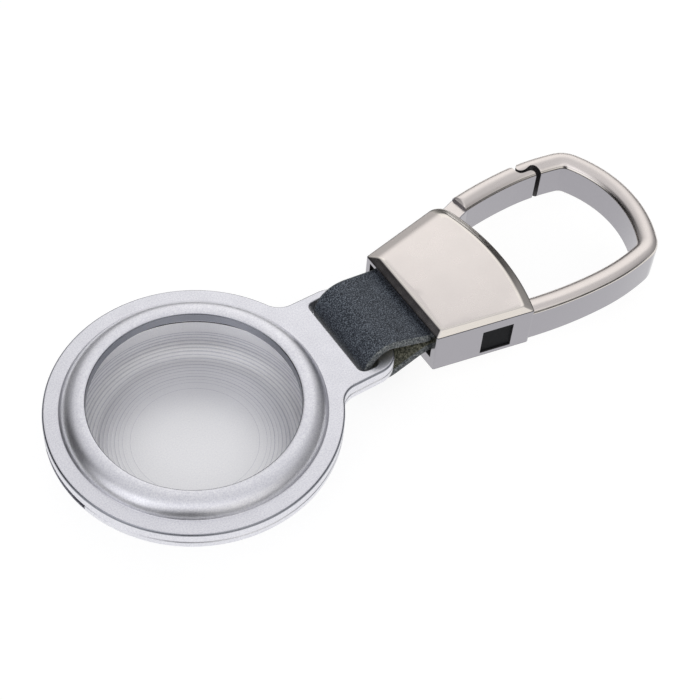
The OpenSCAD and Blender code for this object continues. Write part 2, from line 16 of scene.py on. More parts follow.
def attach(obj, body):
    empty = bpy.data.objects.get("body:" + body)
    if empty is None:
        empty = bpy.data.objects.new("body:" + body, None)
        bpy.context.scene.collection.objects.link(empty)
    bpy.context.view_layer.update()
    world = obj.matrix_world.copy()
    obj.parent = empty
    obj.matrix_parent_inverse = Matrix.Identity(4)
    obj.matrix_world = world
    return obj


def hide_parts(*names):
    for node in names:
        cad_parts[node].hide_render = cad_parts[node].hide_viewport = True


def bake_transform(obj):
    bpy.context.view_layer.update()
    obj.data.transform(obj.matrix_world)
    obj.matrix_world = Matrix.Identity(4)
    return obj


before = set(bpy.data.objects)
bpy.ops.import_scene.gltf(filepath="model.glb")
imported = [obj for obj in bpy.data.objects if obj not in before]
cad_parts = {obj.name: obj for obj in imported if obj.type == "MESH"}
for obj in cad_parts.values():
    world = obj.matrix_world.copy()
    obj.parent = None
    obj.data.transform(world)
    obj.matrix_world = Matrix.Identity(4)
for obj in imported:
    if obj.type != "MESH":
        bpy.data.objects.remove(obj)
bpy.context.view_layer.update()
MM = 0.001

# Case
DISC_R = 20.0
POCKET_R = 16.1
CUP_R = 17.3
FLOOR_Z = 1.0
CUP_CORNER_R = 3.1
LIP_Z = 9.1
RIM_Z = 10.73
FLANGE_Z = 9.0
PART_Z = 7.3
BACK_Z = 6.1
WINDOW_R = 14.25
BEAD_R = 17.9
EDGE_R = 0.3
SLOT_EDGE_R = 0.22
PART_GROOVE = 0.16
SPIGOT_R = 16.8
SPIGOT_Z = 6.72
REBATE_R = 16.9
REBATE_Z = 6.5
SEAM_EDGE = 0.05
RELIEF = (105, 135)
PRY_W = 10.4
PRY_H = 0.8
PRY_R = 18.4
TAB_HALF = 8.15
TAB_END = 28.5
TAB_CORNER_R = 3.8
TAB_FILLET_R = 3.2
SLOT_X = (22.1, 25.2)
SLOT_HALF = 6.9
SLOT_CORNER_R = 1.0

# Strap
SWING = (26.85, 7.55)
FLEX = (33.68, 8.1)
LEATHER_T = 1.2
LEATHER_EDGE_R = 0.22
LOOP_R = 2.7
STRAP_HALF = 6.45
STRAP_ROOT_HALF = 7.0
LAYER_GAP = 1.0
FLARE_R = 3.0

# Clasp
HOUSE_X = (33.2, 47.8)
HOUSE_HALF = 8.67
TAPER = radians(11.2)
CLASP_Z = 7.5
HOUSE_HALF_H = 4.3
END_R = 33.3
END_CX = 16.55
BEVEL_H = 0.85
PIN = (46.24, 8.91)
KNUCKLE_R = 2.3
KNUCKLE_LEAST_R = 0.9
UPRIGHT_R = 0.3
MOUTH_HALF = 7.7
MOUTH_Z = (5.9, 10.3)
CLAMP_X = (40.3, 44.8)
CLAMP_Z = 7.0
CLAMP_HALF = 2.25
CLAMP_CLEAR = 0.05

# Hook and gate
BAR_W = 3.0
ARM_R = 63.9
ARM_END_R = 35.0
CORNER_R = 3.0
END_BAR_R = 17.7
HOOK_TIP_X = 74.45
ARM_STEP = 0.05
TONGUE_W = 3.0
TONGUE_HALF_H = 2.4
TONGUE_L = 4.7
GATE_OPEN = 30

# Meshes
# Points nearer than this are one: millimetres on a level face, metres in a mesh
SAME_POINT = 1e-7
WELD_M = 2e-7
# A rounding takes at most one part in this many of each side of its corner
ROUNDING_PARTS = 2.01
# How far cutters run past a piece
OVER = 1
# Edges sharper than this many degrees are rounded after a cut, or keep sharp shading
SOFT_ANGLE = 50
CASE_SHARP = 40
CLASP_SHARP = 32
STRAP_SHARP = 50


# Mesh helpers

class Shell:
    """Vertices, faces and each face's finish, in millimetres."""

    def __init__(self):
        self.verts = []
        self.faces = []
        self.mats = []

    def loop(self, points):
        """Adds vertices and returns their numbers."""
        start = len(self.verts)
        self.verts.extend(tuple(p) for p in points)
        return list(range(start, len(self.verts)))

    def face(self, ids, mat=None):
        self.faces.append(tuple(ids))
        self.mats.append(mat)

    def band(self, a, b, mat=None):
        """A closed strip of faces between two loops; mat is one finish, or a list of them."""
        mats = mat if isinstance(mat, list) else [mat] * len(a)
        for i, m in enumerate(mats):
            j = (i + 1) % len(a)
            self.face((a[i], a[j], b[j], b[i]), m)

    def skin(self, loops, mat=None):
        for a, b in zip(loops, loops[1:]):
            self.band(a, b, mat)

    def tube(self, loops, mat=None, end=None):
        """A skin with both ends closed."""
        self.skin(loops, mat)
        self.face(reversed(loops[0]), end)
        self.face(loops[-1], end)

    def cap(self, outer, holes=(), grid=0):
        """Fills a level region between an outer loop and the loops of its holes.

        A grid above 0 is the spacing of more points inside."""
        loops = [outer, *holes]
        ids = [i for ring in loops for i in ring]
        if grid:
            ring = np.array([self.verts[i] for i in outer])
            (x0, y0, z), (x1, y1, _) = ring.min(0), ring.max(0)
            spots = [(x, y) for x in np.arange(x0 + grid / 2, x1, grid)
                     for y in np.arange(y0 + grid / 2, y1, grid)]
            keep = inside(np.array(spots), ring)
            ids += self.loop(lift([p for p, k in zip(spots, keep) if k], z))
        flat = [Vector(self.verts[i][:2]) for i in ids]
        edges = []
        for ring in loops:
            ends = range(len(edges), len(edges) + len(ring))
            edges += zip(ends, [*ends[1:], ends[0]])
        made = delaunay_2d_cdt(flat, edges, [], 0, SAME_POINT)
        tris = np.array(made[2])
        points = np.array([p[:] for p in made[0]])
        centres = points[tris].mean(1)
        keep = sum(inside(centres, [self.verts[i] for i in ring]) for ring in loops) == 1
        for tri in tris[keep]:
            self.face([ids[made[3][k][0]] for k in tri])


def inside(points, ring):
    """Which points lie inside a closed outline, by counting its edges to one side."""
    found = np.zeros(len(points), bool)
    ring = np.array([p[:2] for p in ring])
    for (x0, y0), (x1, y1) in zip(ring, np.roll(ring, -1, 0)):
        if y0 != y1:
            across = (points[:, 1] > y0) != (points[:, 1] > y1)
            cut_x = x0 + (points[:, 1] - y0) * (x1 - x0) / (y1 - y0)
            found ^= across & (points[:, 0] < cut_x)
    return found


def arc(cx, cy, r, a0, a1, n):
    """n + 1 points along an arc, angles in degrees."""
    return [(cx + r * cos(radians(a)), cy + r * sin(radians(a)))
            for a in np.linspace(a0, a1, n + 1)]


def rounded(points, cuts, steps):
    """A polyline whose corners are rounded, each by its own cut-back length or not at all."""
    pts = [np.array(p, float) for p in points]
    out = []
    for i, (p, cut) in enumerate(zip(pts, cuts)):
        if not cut:
            out.append(tuple(p))
            continue
        a, b = (p + side / np.linalg.norm(side) * min(cut, np.linalg.norm(side) / ROUNDING_PARTS)
                for side in (pts[i - 1] - p, pts[i + 1] - p))
        for t in np.linspace(0, 1, steps + 1):
            out.append(tuple((1 - t) ** 2 * a + 2 * t * (1 - t) * p + t * t * b))
    return out


def spline(points, steps):
    """A smooth curve through points, with steps stretches between each two."""
    pts = np.array(points, float)
    ends = np.vstack([2 * pts[0] - pts[1], pts, 2 * pts[-1] - pts[-2]])
    out = []
    for i in range(1, len(ends) - 2):
        p0, p1, p2, p3 = ends[i - 1:i + 3]
        for t in np.arange(steps) / steps:
            out.append(tuple(0.5 * (2 * p1 + (p2 - p0) * t
                                    + (2 * p0 - 5 * p1 + 4 * p2 - p3) * t ** 2
                                    + (3 * p1 - p0 - 3 * p2 + p3) * t ** 3)))
    return out + [tuple(pts[-1])]


def bearing(origin, point):
    return degrees(atan2(point[1] - origin[1], point[0] - origin[0]))


def midway(a, b):
    return ((a[0] + b[0]) / 2, (a[1] + b[1]) / 2)


def normals(line):
    """Unit vectors square to a flat line, to the right of its direction."""
    tangent = np.gradient(line, axis=0)
    tangent /= np.linalg.norm(tangent, axis=1)[:, None]
    return np.stack([tangent[:, 1], -tangent[:, 0]], 1)


def lift(points, z):
    return [(x, y, z) for x, y in points]


def new_object(name, data):
    obj = bpy.data.objects.new(name, data)
    bpy.context.scene.collection.objects.link(obj)
    return obj


def finish_mesh(obj, sharp):
    """Smooth shading with sharp edges, and flat faces that keep their own normals."""
    mesh = obj.data
    mesh.polygons.foreach_set("use_smooth", [True] * len(mesh.polygons))
    mesh.set_sharp_from_angle(angle=radians(sharp))
    weighted = obj.modifiers.new("flat faces first", "WEIGHTED_NORMAL")
    weighted.keep_sharp = True


def solid(name, shell, materials):
    """A closed mesh object from a shell, its normals turned outwards.

    A face with no finish of its own gets the first material."""
    mesh = bpy.data.meshes.new(name)
    mesh.from_pydata([[c * MM for c in v] for v in shell.verts], [], shell.faces)
    index = {None: 0}
    for i, m in enumerate(materials):
        mesh.materials.append(m)
        index[m] = i
    mesh.polygons.foreach_set("material_index", [index[m] for m in shell.mats])
    bm = bmesh.new()
    bm.from_mesh(mesh)
    bmesh.ops.remove_doubles(bm, verts=bm.verts, dist=WELD_M)
    bmesh.ops.recalc_face_normals(bm, faces=bm.faces)
    bm.to_mesh(mesh)
    bm.free()
    return new_object(name, mesh)


def apply_modifiers(obj):
    graph = bpy.context.evaluated_depsgraph_get()
    mesh = bpy.data.meshes.new_from_object(obj.evaluated_get(graph))
    obj.modifiers.clear()
    obj.data = mesh


def carve(obj, cutters):
    """Takes the cutters' solids out of obj and deletes them."""
    for cutter in cutters:
        mod = obj.modifiers.new("cut", "BOOLEAN")
        mod.operation = "DIFFERENCE"
        mod.solver = "EXACT"
        mod.material_mode = "TRANSFER"
        mod.object = cutter
    apply_modifiers(obj)
    for cutter in cutters:
        bpy.data.objects.remove(cutter)


def soften(obj, width, segments):
    """Rounds the edges that a cut leaves."""
    mod = obj.modifiers.new("soft edges", "BEVEL")
    mod.width = width * MM
    mod.segments = segments
    mod.limit_method = "ANGLE"
    mod.angle_limit = radians(SOFT_ANGLE)
    mod.harden_normals = False
    apply_modifiers(obj)


def prism(name, plan, z0, z1, material):
    """A cutter: an outline raised from z0 to z1."""
    shell = Shell()
    shell.tube([shell.loop(lift(plan, z)) for z in (z0, z1)])
    return solid(name, shell, [material])


def box_plan(x0, x1, y0, y1):
    return [(x0, y0), (x1, y0), (x1, y1), (x0, y1)]


def settle(obj, body, sharp, replaces=()):
    """Shades a piece, gives it its body and hides the CAD nodes it stands for."""
    finish_mesh(obj, sharp)
    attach(obj, body)
    if replaces:
        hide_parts(*replaces)


# Materials

# A colour mix node's places for its two colours and its result
MIX_A = 6
MIX_B = 7
MIX_RESULT = 2


def plug(tree, socket, value):
    """Sets a socket, or links it where the value is another node's output."""
    if isinstance(value, bpy.types.NodeSocket):
        tree.links.new(value, socket)
    else:
        socket.default_value = value


def add_node(tree, kind, inputs=None, **settings):
    node = tree.nodes.new("ShaderNode" + kind)
    for key, value in settings.items():
        setattr(node, key, value)
    for key, value in (inputs or {}).items():
        plug(tree, node.inputs[key], value)
    return node


def linear(color):
    """A node's colour from an 8-bit screen colour, or from one grey level up to 1."""
    if not isinstance(color, tuple):
        return (color, color, color, 1)
    return (*(c / 255 / 12.92 if c / 255 <= 0.04045 else ((c / 255 + 0.055) / 1.055) ** 2.4
              for c in color), 1)


class Finish:
    """A material and short ways to add nodes to it."""

    def __init__(self, name, color, metallic, roughness, **inputs):
        self.material = bpy.data.materials.new(name)
        self.material.use_nodes = True
        self.tree = self.material.node_tree
        self.shader = self.tree.nodes["Principled BSDF"]
        self.set(Base_Color=linear(color), Metallic=metallic, Roughness=roughness, **inputs)
        self.coords = self.add("TexCoord").outputs["Object"]

    def set(self, **inputs):
        """Sets or links inputs of the shader."""
        for key, value in inputs.items():
            plug(self.tree, self.shader.inputs[key.replace("_", " ")], value)

    def add(self, kind, inputs=None, **settings):
        return add_node(self.tree, kind, inputs, **settings)

    def noise(self, per_mm, detail, rough=0.5, stretch=None):
        """A noise whose grains are about 1 / per_mm millimetres across."""
        source = self.coords
        if stretch:
            mapping = self.add("Mapping", {"Scale": stretch, "Vector": source})
            source = mapping.outputs["Vector"]
        node = self.add("TexNoise", {"Scale": per_mm / MM, "Detail": detail,
                                     "Roughness": rough, "Vector": source})
        return node.outputs["Fac"]

    def ramp(self, fac, stops):
        """A colour by fac, from stops of (place, colour or grey level)."""
        node = self.add("ValToRGB", {"Fac": fac})
        elements = node.color_ramp.elements
        while len(elements) < len(stops):
            elements.new(0.5)
        for element, (place, color) in zip(elements, stops):
            element.position = place
            element.color = linear(color)
        return node.outputs["Color"]

    def multiply(self, a, b):
        mix = self.add("Mix", {"Factor": 1, MIX_A: a, MIX_B: b}, data_type="RGBA",
                       blend_type="MULTIPLY")
        return mix.outputs[MIX_RESULT]

    def bump(self, height, depth, strength=1.0, below=None):
        """Raises the surface by up to depth millimetres, over the bump below if there is one."""
        node = self.add("Bump", {"Strength": strength, "Distance": depth * MM, "Height": height})
        if below is not None:
            plug(self.tree, node.inputs["Normal"], below)
        self.set(Normal=node.outputs["Normal"])
        return node.outputs["Normal"]


def anodised():
    """Bead-blasted, anodised aluminium: a soft sheen with fine grain."""
    f = Finish("blasted_aluminium", (228, 228, 234), metallic=1.0, roughness=0.34)
    grain = f.noise(per_mm=5, detail=3, rough=0.65)
    cloud = f.noise(per_mm=0.35, detail=2)
    f.set(Base_Color=f.ramp(grain, [(0.3, (212, 212, 221)), (0.7, (242, 242, 246))]),
          Roughness=f.ramp(cloud, [(0.3, 0.31), (0.7, 0.37)]))
    f.bump(grain, depth=0.01)
    return f.material


# How light, metallic and rough the cup is, by shares of the pocket's radius. Its lightness is
# painted shade, darker over the bend below the wall
CUP_BEND_SHADE = [(0.72, 1.0), (0.82, 0.9), (0.93, 0.92), (0.99, 1.0)]
CUP_METALLIC = [(0.3, 0.75), (0.84, 0.55), (0.95, 0.5), (0.995, 0.8)]
CUP_ROUGHNESS = [(0.3, 0.38), (0.84, 0.46), (0.95, 0.5), (0.995, 0.4)]


def cup_metal(name, dark, light):
    """The cup's inside: turned, then blasted, so duller than the rest, its colour lighter than
    the anodised face as painted light.

    Dark and light are the grain's colours; the bend below the wall is rougher still and painted
    darker as shade."""
    f = Finish(name, light, metallic=0.4, roughness=0.5)
    split = f.add("SeparateXYZ", {"Vector": f.coords})
    flat = f.add("CombineXYZ", {"X": split.outputs["X"], "Y": split.outputs["Y"]})
    radius = f.add("VectorMath", {0: flat.outputs[0]}, operation="LENGTH")
    share = f.add("MapRange", {"From Max": POCKET_R * MM,
                               "Value": radius.outputs["Value"]}).outputs[0]
    grain = f.noise(per_mm=5, detail=3, rough=0.65)
    # The grain's colour, darkened over the bend as painted shade
    color = f.multiply(f.ramp(grain, [(0.3, dark), (0.7, light)]), f.ramp(share, CUP_BEND_SHADE))
    f.set(Base_Color=color, Metallic=f.ramp(share, CUP_METALLIC),
          Roughness=f.ramp(share, CUP_ROUGHNESS))
    f.bump(grain, depth=0.014)
    return f.material


def seam_gap_shade():
    """The gap between spigot and rebate, painted dark as shade."""
    f = Finish("seam_painted_shade", (60, 60, 64), metallic=0.6, roughness=0.6)
    f.bump(f.noise(per_mm=5, detail=3), depth=0.01)
    return f.material


def cut_edge_shade():
    """The window's wall and the flange's edge, cut after the blasting: smoother.

    Their darker grey is painted shade.
    """
    f = Finish("cut_aluminium_shaded", (150, 152, 160), metallic=1.0, roughness=0.25)
    f.bump(f.noise(per_mm=4, detail=2, stretch=(1, 1, 6)), depth=0.004)
    return f.material


def satin_nickel():
    """Pearl nickel, satin: warm and fine-grained."""
    f = Finish("satin_nickel", (228, 222, 218), metallic=1.0, roughness=0.27)
    grain = f.noise(per_mm=8, detail=2, rough=0.6)
    cloud = f.noise(per_mm=0.3, detail=3)
    f.set(Base_Color=f.ramp(grain, [(0.25, (221, 213, 210)), (0.75, (226, 220, 216))]),
          Roughness=f.ramp(cloud, [(0.3, 0.26), (0.7, 0.3)]))
    f.bump(grain, depth=0.001)
    return f.material


def bright_plating(name, color, metallic, roughness, least, most):
    """Plating left bright, its roughness between least and most."""
    f = Finish(name, color, metallic, roughness)
    cloud = f.noise(per_mm=0.6, detail=3)
    f.set(Roughness=f.ramp(cloud, [(0.3, least), (0.75, most)]))
    f.bump(f.noise(per_mm=1.2, detail=2), depth=0.0012)
    return f.material


def shaded_polished_nickel():
    """The clasp's sides, a little darker and cooler than its faces.

    Their darker colour is painted shade.
    """
    return bright_plating("shaded_polished_nickel", (164, 162, 167), metallic=1.0, roughness=0.1,
                          least=0.08, most=0.15)


def bright_nickel():
    """Bevels, which are cut smooth and left bright."""
    return bright_plating("bright_nickel", (222, 216, 210), metallic=1.0, roughness=0.14,
                          least=0.11, most=0.18)


def edge_line_shade():
    """The fine dark line along an edge: painted shade."""
    f = Finish("edge_line_shade", (92, 90, 95), metallic=1.0, roughness=0.25)
    f.bump(f.noise(per_mm=2, detail=2), depth=0.002)
    return f.material


def inside_shade():
    """Dark metal for the cut faces inside the housing and at the hook's nose: painted shade."""
    f = Finish("inside_painted_shade", (70, 68, 70), metallic=0.6, roughness=0.55)
    f.bump(f.noise(per_mm=5, detail=3), depth=0.01)
    return f.material


def black_insert():
    """The clamp bar's dull black."""
    f = Finish("black_insert", (14, 16, 19), metallic=0.0, roughness=0.55, Specular_IOR_Level=0.1)
    cloud = f.noise(per_mm=2, detail=3)
    f.set(Base_Color=f.ramp(cloud, [(0.3, (9, 11, 14)), (0.7, (18, 20, 24))]))
    f.bump(f.noise(per_mm=7, detail=3), depth=0.006)
    return f.material


def spring_steel():
    """Bare steel of the pin and the spring."""
    f = Finish("spring_steel", (190, 190, 192), metallic=1.0, roughness=0.25)
    f.bump(f.noise(per_mm=12, detail=2, stretch=(1, 1, 0.2)), depth=0.003)
    return f.material


def leather_grain():
    """Dark slate leather with a fine, slightly pebbled grain."""
    f = Finish("leather_grain", (70, 76, 85), metallic=0.0, roughness=0.5, Specular_IOR_Level=0.35)
    pebbles = f.add("TexVoronoi", {"Scale": 4.6 / MM, "Vector": f.coords}, feature="SMOOTH_F1")
    fine = f.noise(per_mm=6.2, detail=2, rough=0.6)
    cloud = f.noise(per_mm=0.25, detail=3)
    tint = f.ramp(fine, [(0.38, (28, 33, 41)), (0.5, (62, 68, 78)), (0.62, (124, 132, 142))])
    f.set(Base_Color=f.multiply(tint, f.ramp(cloud, [(0.3, 0.85), (0.7, 1.0)])),
          Roughness=f.ramp(fine, [(0.3, 0.42), (0.7, 0.6)]))
    low = f.bump(pebbles.outputs["Distance"], depth=0.03, strength=0.7)
    f.bump(fine, depth=0.05, strength=0.8, below=low)
    return f.material


def fibrous(name, color, roughness, fibres, stops, depth):
    """Open leather: fibres are grains per millimetre, detail and roughness of its noise."""
    f = Finish(name, color, metallic=0.0, roughness=roughness)
    grain = f.noise(*fibres)
    f.set(Base_Color=f.ramp(grain, stops))
    f.bump(grain, depth)
    return f.material


def leather_edge():
    """The strap's cut edges: grey fibres."""
    stops = [(0.36, (54, 58, 62)), (0.5, (99, 104, 107)), (0.64, (162, 166, 164))]
    return fibrous("leather_edge", (84, 92, 96), 0.75, (4, 3, 0.7), stops, depth=0.04)


def leather_flesh():
    """The strap's inner side: open, olive-brown suede."""
    stops = [(0.38, (56, 59, 52)), (0.5, (114, 115, 100)), (0.62, (184, 183, 164))]
    return fibrous("leather_flesh", (92, 92, 78), 0.95, (3.2, 6, 0.75), stops, depth=0.12)


ANODISED = anodised()
CUT_EDGE_SHADE = cut_edge_shade()
# The cup's colours, lighter than the anodised face, are painted light
CUP_LIT = cup_metal("turned_aluminium_lit", (242, 242, 246), (254, 254, 255))
# Darker colours for the lathe marks: painted shade in the grooves
GROOVE_SHADE = cup_metal("turned_grooves_shade", (210, 210, 217), (228, 228, 234))
SEAM_SHADE = seam_gap_shade()
BRIGHT = bright_nickel()
LINE_SHADE = edge_line_shade()
SATIN = satin_nickel()
POLISHED_SHADED = shaded_polished_nickel()
INSIDE_SHADE = inside_shade()
BLACK = black_insert()
STEEL = spring_steel()
GRAIN = leather_grain()
EDGE = leather_edge()
FLESH = leather_flesh()


# Case

# Steps of each round form
ROUND_STEPS = 256
FILLET_STEPS = 14
DISC_STEPS = 110
TAB_CORNER_STEPS = 16
SLOT_STEPS = 8
EDGE_STEPS = 5
# Narrow level rings beside rounded edges, which keep the faces' shading flat
FACE_RING = 0.06
SLOT_RING = 0.05
CUP_RING = 0.1
UNDER_RING = 0.3
# The bead's section from the window outwards: radius and depth below the rim
BEAD_CROWN = [(14.62, 0.03), (15.3, 0.02), (16.0, 0.1), (16.65, 0.35), (17.2, 0.78),
              (17.56, 1.25), (17.74, 1.62)]
# The bead's foot: distance out from its radius and height over the flange
BEAD_FOOT = [(-0.13, 0.05), (-0.08, 0.01), (0, 0), (0.1, 0)]
# The window's upper edge: distance out from its wall and depth below the rim
WINDOW_EDGE = [(0, 0.22), (0.04, 0.12), (0.12, 0.06)]
WINDOW_LOW_EDGE = 0.08
LIP_EDGE = 0.05
# Faces that start within this of the window's wall have its cut finish and painted shade
CUT_REACH = 0.05
# How far the spigot runs up into its cover, and the degrees between its sections
SPIGOT_LAP = 0.02
SPIGOT_STEP = 3
# The lathe's marks: spacing and depth, where down the cup's section they start, how soon they
# are full, where and over what length they fade, and to what
MARK_PITCH = 0.52
MARK_DEPTH = 0.022
MARK_START = 1.7
MARK_RISE = 0.6
MARK_FADE_START = 4.5
MARK_FADE = 8
MARK_LEAST = 0.08
# The share of a full mark painted dark as shade in the groove, and the faintest mark that is
DARK_SHARE = 0.6
DARK_LEAST = 0.12
# Steps of the cup's wall and bend, spacing of its floor's rings and radius of the last
WALL_STEPS = 23
BEND_STEPS = 90
FLOOR_RING = 0.054
FLOOR_END_R = 0.3
# Inset of the middle of the edge where the cup meets the plate's underside
CUP_EDGE_MID = 0.09


def tab_outline(inset):
    """The disc with its tab, drawn in by inset, counter-clockwise from the tab's end."""
    fy = TAB_HALF + TAB_FILLET_R
    fx = sqrt((DISC_R + TAB_FILLET_R) ** 2 - fy * fy)
    meet_a = degrees(atan2(fy, fx))
    half = TAB_HALF - TAB_CORNER_R
    top = (arc(TAB_END - TAB_CORNER_R, half, TAB_CORNER_R - inset, 0, 90, TAB_CORNER_STEPS)
           + arc(fx, fy, TAB_FILLET_R + inset, 270, 180 + meet_a, FILLET_STEPS)
           + arc(0, 0, DISC_R - inset, meet_a, 180, DISC_STEPS)[1:-1])
    lower = [(x, -y) for x, y in reversed(top)]
    return top + [(inset - DISC_R, 0)] + lower


def slot_outline(grow):
    """The strap slot, made larger by grow, counter-clockwise."""
    r = SLOT_CORNER_R + grow
    x0, x1 = SLOT_X[0] + SLOT_CORNER_R, SLOT_X[1] - SLOT_CORNER_R
    y = SLOT_HALF - SLOT_CORNER_R
    corners = [(x1, y, 0), (x0, y, 90), (x0, -y, 180), (x1, -y, 270)]
    return [p for cx, cy, a in corners for p in arc(cx, cy, r, a, a + 90, SLOT_STEPS)]


def circle(r, z):
    return [(r * cos(a), r * sin(a), z) for a in np.arange(ROUND_STEPS) * 2 * pi / ROUND_STEPS]


def edge_round(r):
    """(inset, drop) pairs of a quarter round, from the wall to the face."""
    return [(r * (1 - cos(a)), r * (1 - sin(a))) for a in np.linspace(0, pi / 2, EDGE_STEPS + 1)]


def plate(shell, face_z, edge_mat=None):
    """The walls of a tab plate between its outer face and the parting line.

    Returns the outer and slot loops, each from the parting line to the face."""
    up = 1 if face_z > PART_Z else -1
    walls = [(PART_GROOVE, PART_Z), (0, PART_Z + up * PART_GROOVE)]
    walls += [(d, face_z - up * h) for d, h in edge_round(EDGE_R)]
    walls.append((EDGE_R + FACE_RING, face_z))
    outer = [shell.loop(lift(tab_outline(d), z)) for d, z in walls]
    shell.skin(outer[:3])
    shell.skin(outer[2:-2], edge_mat)
    shell.skin(outer[-3:])
    hole = [(0, PART_Z)] + [(d, face_z - up * h) for d, h in edge_round(SLOT_EDGE_R)]
    hole.append((SLOT_EDGE_R + SLOT_RING, face_z))
    inner = [shell.loop(lift(slot_outline(d), z)) for d, z in hole]
    shell.skin(inner)
    return outer, inner


def front_cover():
    shell = Shell()
    # The flange's rounded edge gets the cut finish with its painted shade
    outer, inner = plate(shell, FLANGE_Z, CUT_EDGE_SHADE)
    profile = [(POCKET_R, PART_Z), (POCKET_R, LIP_Z - LIP_EDGE), (POCKET_R - LIP_EDGE, LIP_Z),
               (WINDOW_R + WINDOW_LOW_EDGE, LIP_Z), (WINDOW_R, LIP_Z + WINDOW_LOW_EDGE)]
    profile += [(WINDOW_R + d, RIM_Z - h) for d, h in WINDOW_EDGE]
    profile += spline([(r, RIM_Z - h) for r, h in BEAD_CROWN], steps=6)
    profile += [(BEAD_R + d, FLANGE_Z + h) for d, h in BEAD_FOOT]
    rings = [shell.loop(circle(r, z)) for r, z in profile]
    for (r, _), a, b in zip(profile, rings, rings[1:]):
        shell.band(a, b, CUT_EDGE_SHADE if r < WINDOW_R + CUT_REACH else None)
    shell.cap(outer[-1], [inner[-1], rings[-1]])
    shell.cap(outer[0], [inner[0], rings[0]])
    spigot(shell)
    obj = solid("case_front", shell, [ANODISED, CUT_EDGE_SHADE, SEAM_SHADE])
    settle(obj, "case_front", CASE_SHARP, ["front_cover"])


def spigot(shell):
    """The ring that closes the case, in two stretches between its relief gaps."""
    low, high = SPIGOT_Z, PART_Z + SPIGOT_LAP
    section = [(POCKET_R, high), (POCKET_R, low + SEAM_EDGE), (POCKET_R + SEAM_EDGE, low),
               (SPIGOT_R, low), (SPIGOT_R, high)]
    # The faces at the seam's gap get its painted shade
    finishes = [None, None, SEAM_SHADE, SEAM_SHADE, None]
    for a0, a1 in ((-RELIEF[0], RELIEF[0]), (RELIEF[1], 360 - RELIEF[1])):
        n = int((a1 - a0) / SPIGOT_STEP)
        rings = [shell.loop([(r * cos(a), r * sin(a), z) for r, z in section])
                 for a in np.radians(np.linspace(a0, a1, n + 1))]
        shell.skin(rings, finishes)
        shell.face(rings[0])
        shell.face(rings[-1])


def turned(points):
    """Presses the lathe's marks into a section; returns its points and which get painted shade."""
    pts = np.array(points, float)
    step = np.linalg.norm(np.diff(pts, axis=0), axis=1)
    s = np.concatenate([[0], np.cumsum(step)])
    rise = np.clip((s - MARK_START) / MARK_RISE, 0, 1)
    fade = rise * np.clip(1 - (s - MARK_FADE_START) / MARK_FADE, MARK_LEAST, 1)
    wave = 1 - np.abs(np.sin(pi * s / MARK_PITCH))
    dark = (wave > 1 - DARK_SHARE * fade) & (fade > DARK_LEAST)
    return pts + normals(pts) * (MARK_DEPTH * fade * wave)[:, None], dark


def back_cover():
    shell = Shell()
    outer, inner = plate(shell, BACK_Z)
    bend_r = POCKET_R - CUP_CORNER_R
    bend_z = FLOOR_Z + CUP_CORNER_R
    wall = [(POCKET_R, z) for z in np.linspace(REBATE_Z - SEAM_EDGE, bend_z, WALL_STEPS + 1)[:-1]]
    bend = [(bend_r + x, bend_z + y) for x, y in arc(0, 0, CUP_CORNER_R, 0, -90, BEND_STEPS)]
    level = [(r, FLOOR_Z) for r in np.arange(bend_r - FLOOR_RING, FLOOR_END_R, -FLOOR_RING)]
    marked, dark = turned(wall + bend + level)
    # The rebate's faces at the seam's gap get its painted shade
    cup_in = [(REBATE_R, PART_Z), (REBATE_R, REBATE_Z), (POCKET_R + SEAM_EDGE, REBATE_Z)]
    cup_in += [tuple(p) for p in marked]
    rings = [shell.loop(circle(r, z)) for r, z in cup_in]
    # Dark marks get the grooves' painted shade
    finishes = [SEAM_SHADE, SEAM_SHADE, CUP_LIT] + [GROOVE_SHADE if d else CUP_LIT for d in dark]
    for finish, a, b in zip(finishes, rings, rings[1:]):
        shell.band(a, b, finish)
    shell.face(rings[-1], CUP_LIT)
    out_r = CUP_CORNER_R + FLOOR_Z
    under = [(CUP_R + EDGE_R + CUP_RING, BACK_Z), (CUP_R + EDGE_R, BACK_Z),
             (CUP_R + CUP_EDGE_MID, BACK_Z - CUP_EDGE_MID), (CUP_R, BACK_Z - EDGE_R)]
    under += [(CUP_R - out_r + x, out_r + y) for x, y in arc(0, 0, out_r, 0, -90, 24)]
    under.append((CUP_R - out_r - UNDER_RING, 0))
    below = [shell.loop(circle(r, z)) for r, z in under]
    shell.skin(below)
    shell.face(below[-1])
    shell.cap(outer[-1], [inner[-1], below[0]])
    shell.cap(outer[0], [inner[0], rings[0]])
    obj = solid("case_back", shell, [ANODISED, CUP_LIT, SEAM_SHADE, GROOVE_SHADE])
    half_a = degrees(asin(PRY_W / 2 / PRY_R))
    plan = [(-DISC_R - OVER, PRY_W / 2)] + arc(0, 0, PRY_R, 180 - half_a, 180 + half_a, 24)
    plan.append((-DISC_R - OVER, -PRY_W / 2))
    carve(obj, [prism("pry", plan, PART_Z - PRY_H, PART_Z + OVER, ANODISED)])
    settle(obj, "case_back", CASE_SHARP, ["back_cover"])


# Strap

# Length of the strap's ends inside the clamp bar, and half the gap between them there
GRIP_L = 2.3
GRIP_CLEAR = 0.03
# Where the layers close on their way to the clamp bar, from the bar outwards
CLOSE_X = (39.7, 38.4, 37.2, 35.6)
# How far the upper layer lies over the clamp bar's level at the second place and over the
# mouth's at the third, its dip at the last, and how much lower the lower one is at the second
CLOSE_RISE = (0.45, 0.1)
CLOSE_DIP = 0.12
LOW_EASE = 0.2
# Steps along the strap, across it and round its edges
FLARE_STEPS = 8
LOOP_STEPS = 60
ACROSS_STEPS = 24
LEATHER_EDGE_STEPS = 4


def tangent_angle(c, total, p, side):
    """Direction square to the line that crosses between two circles and touches both."""
    lean = degrees(acos(total / hypot(p[0] - c[0], p[1] - c[1])))
    return bearing(c, p) + side * lean


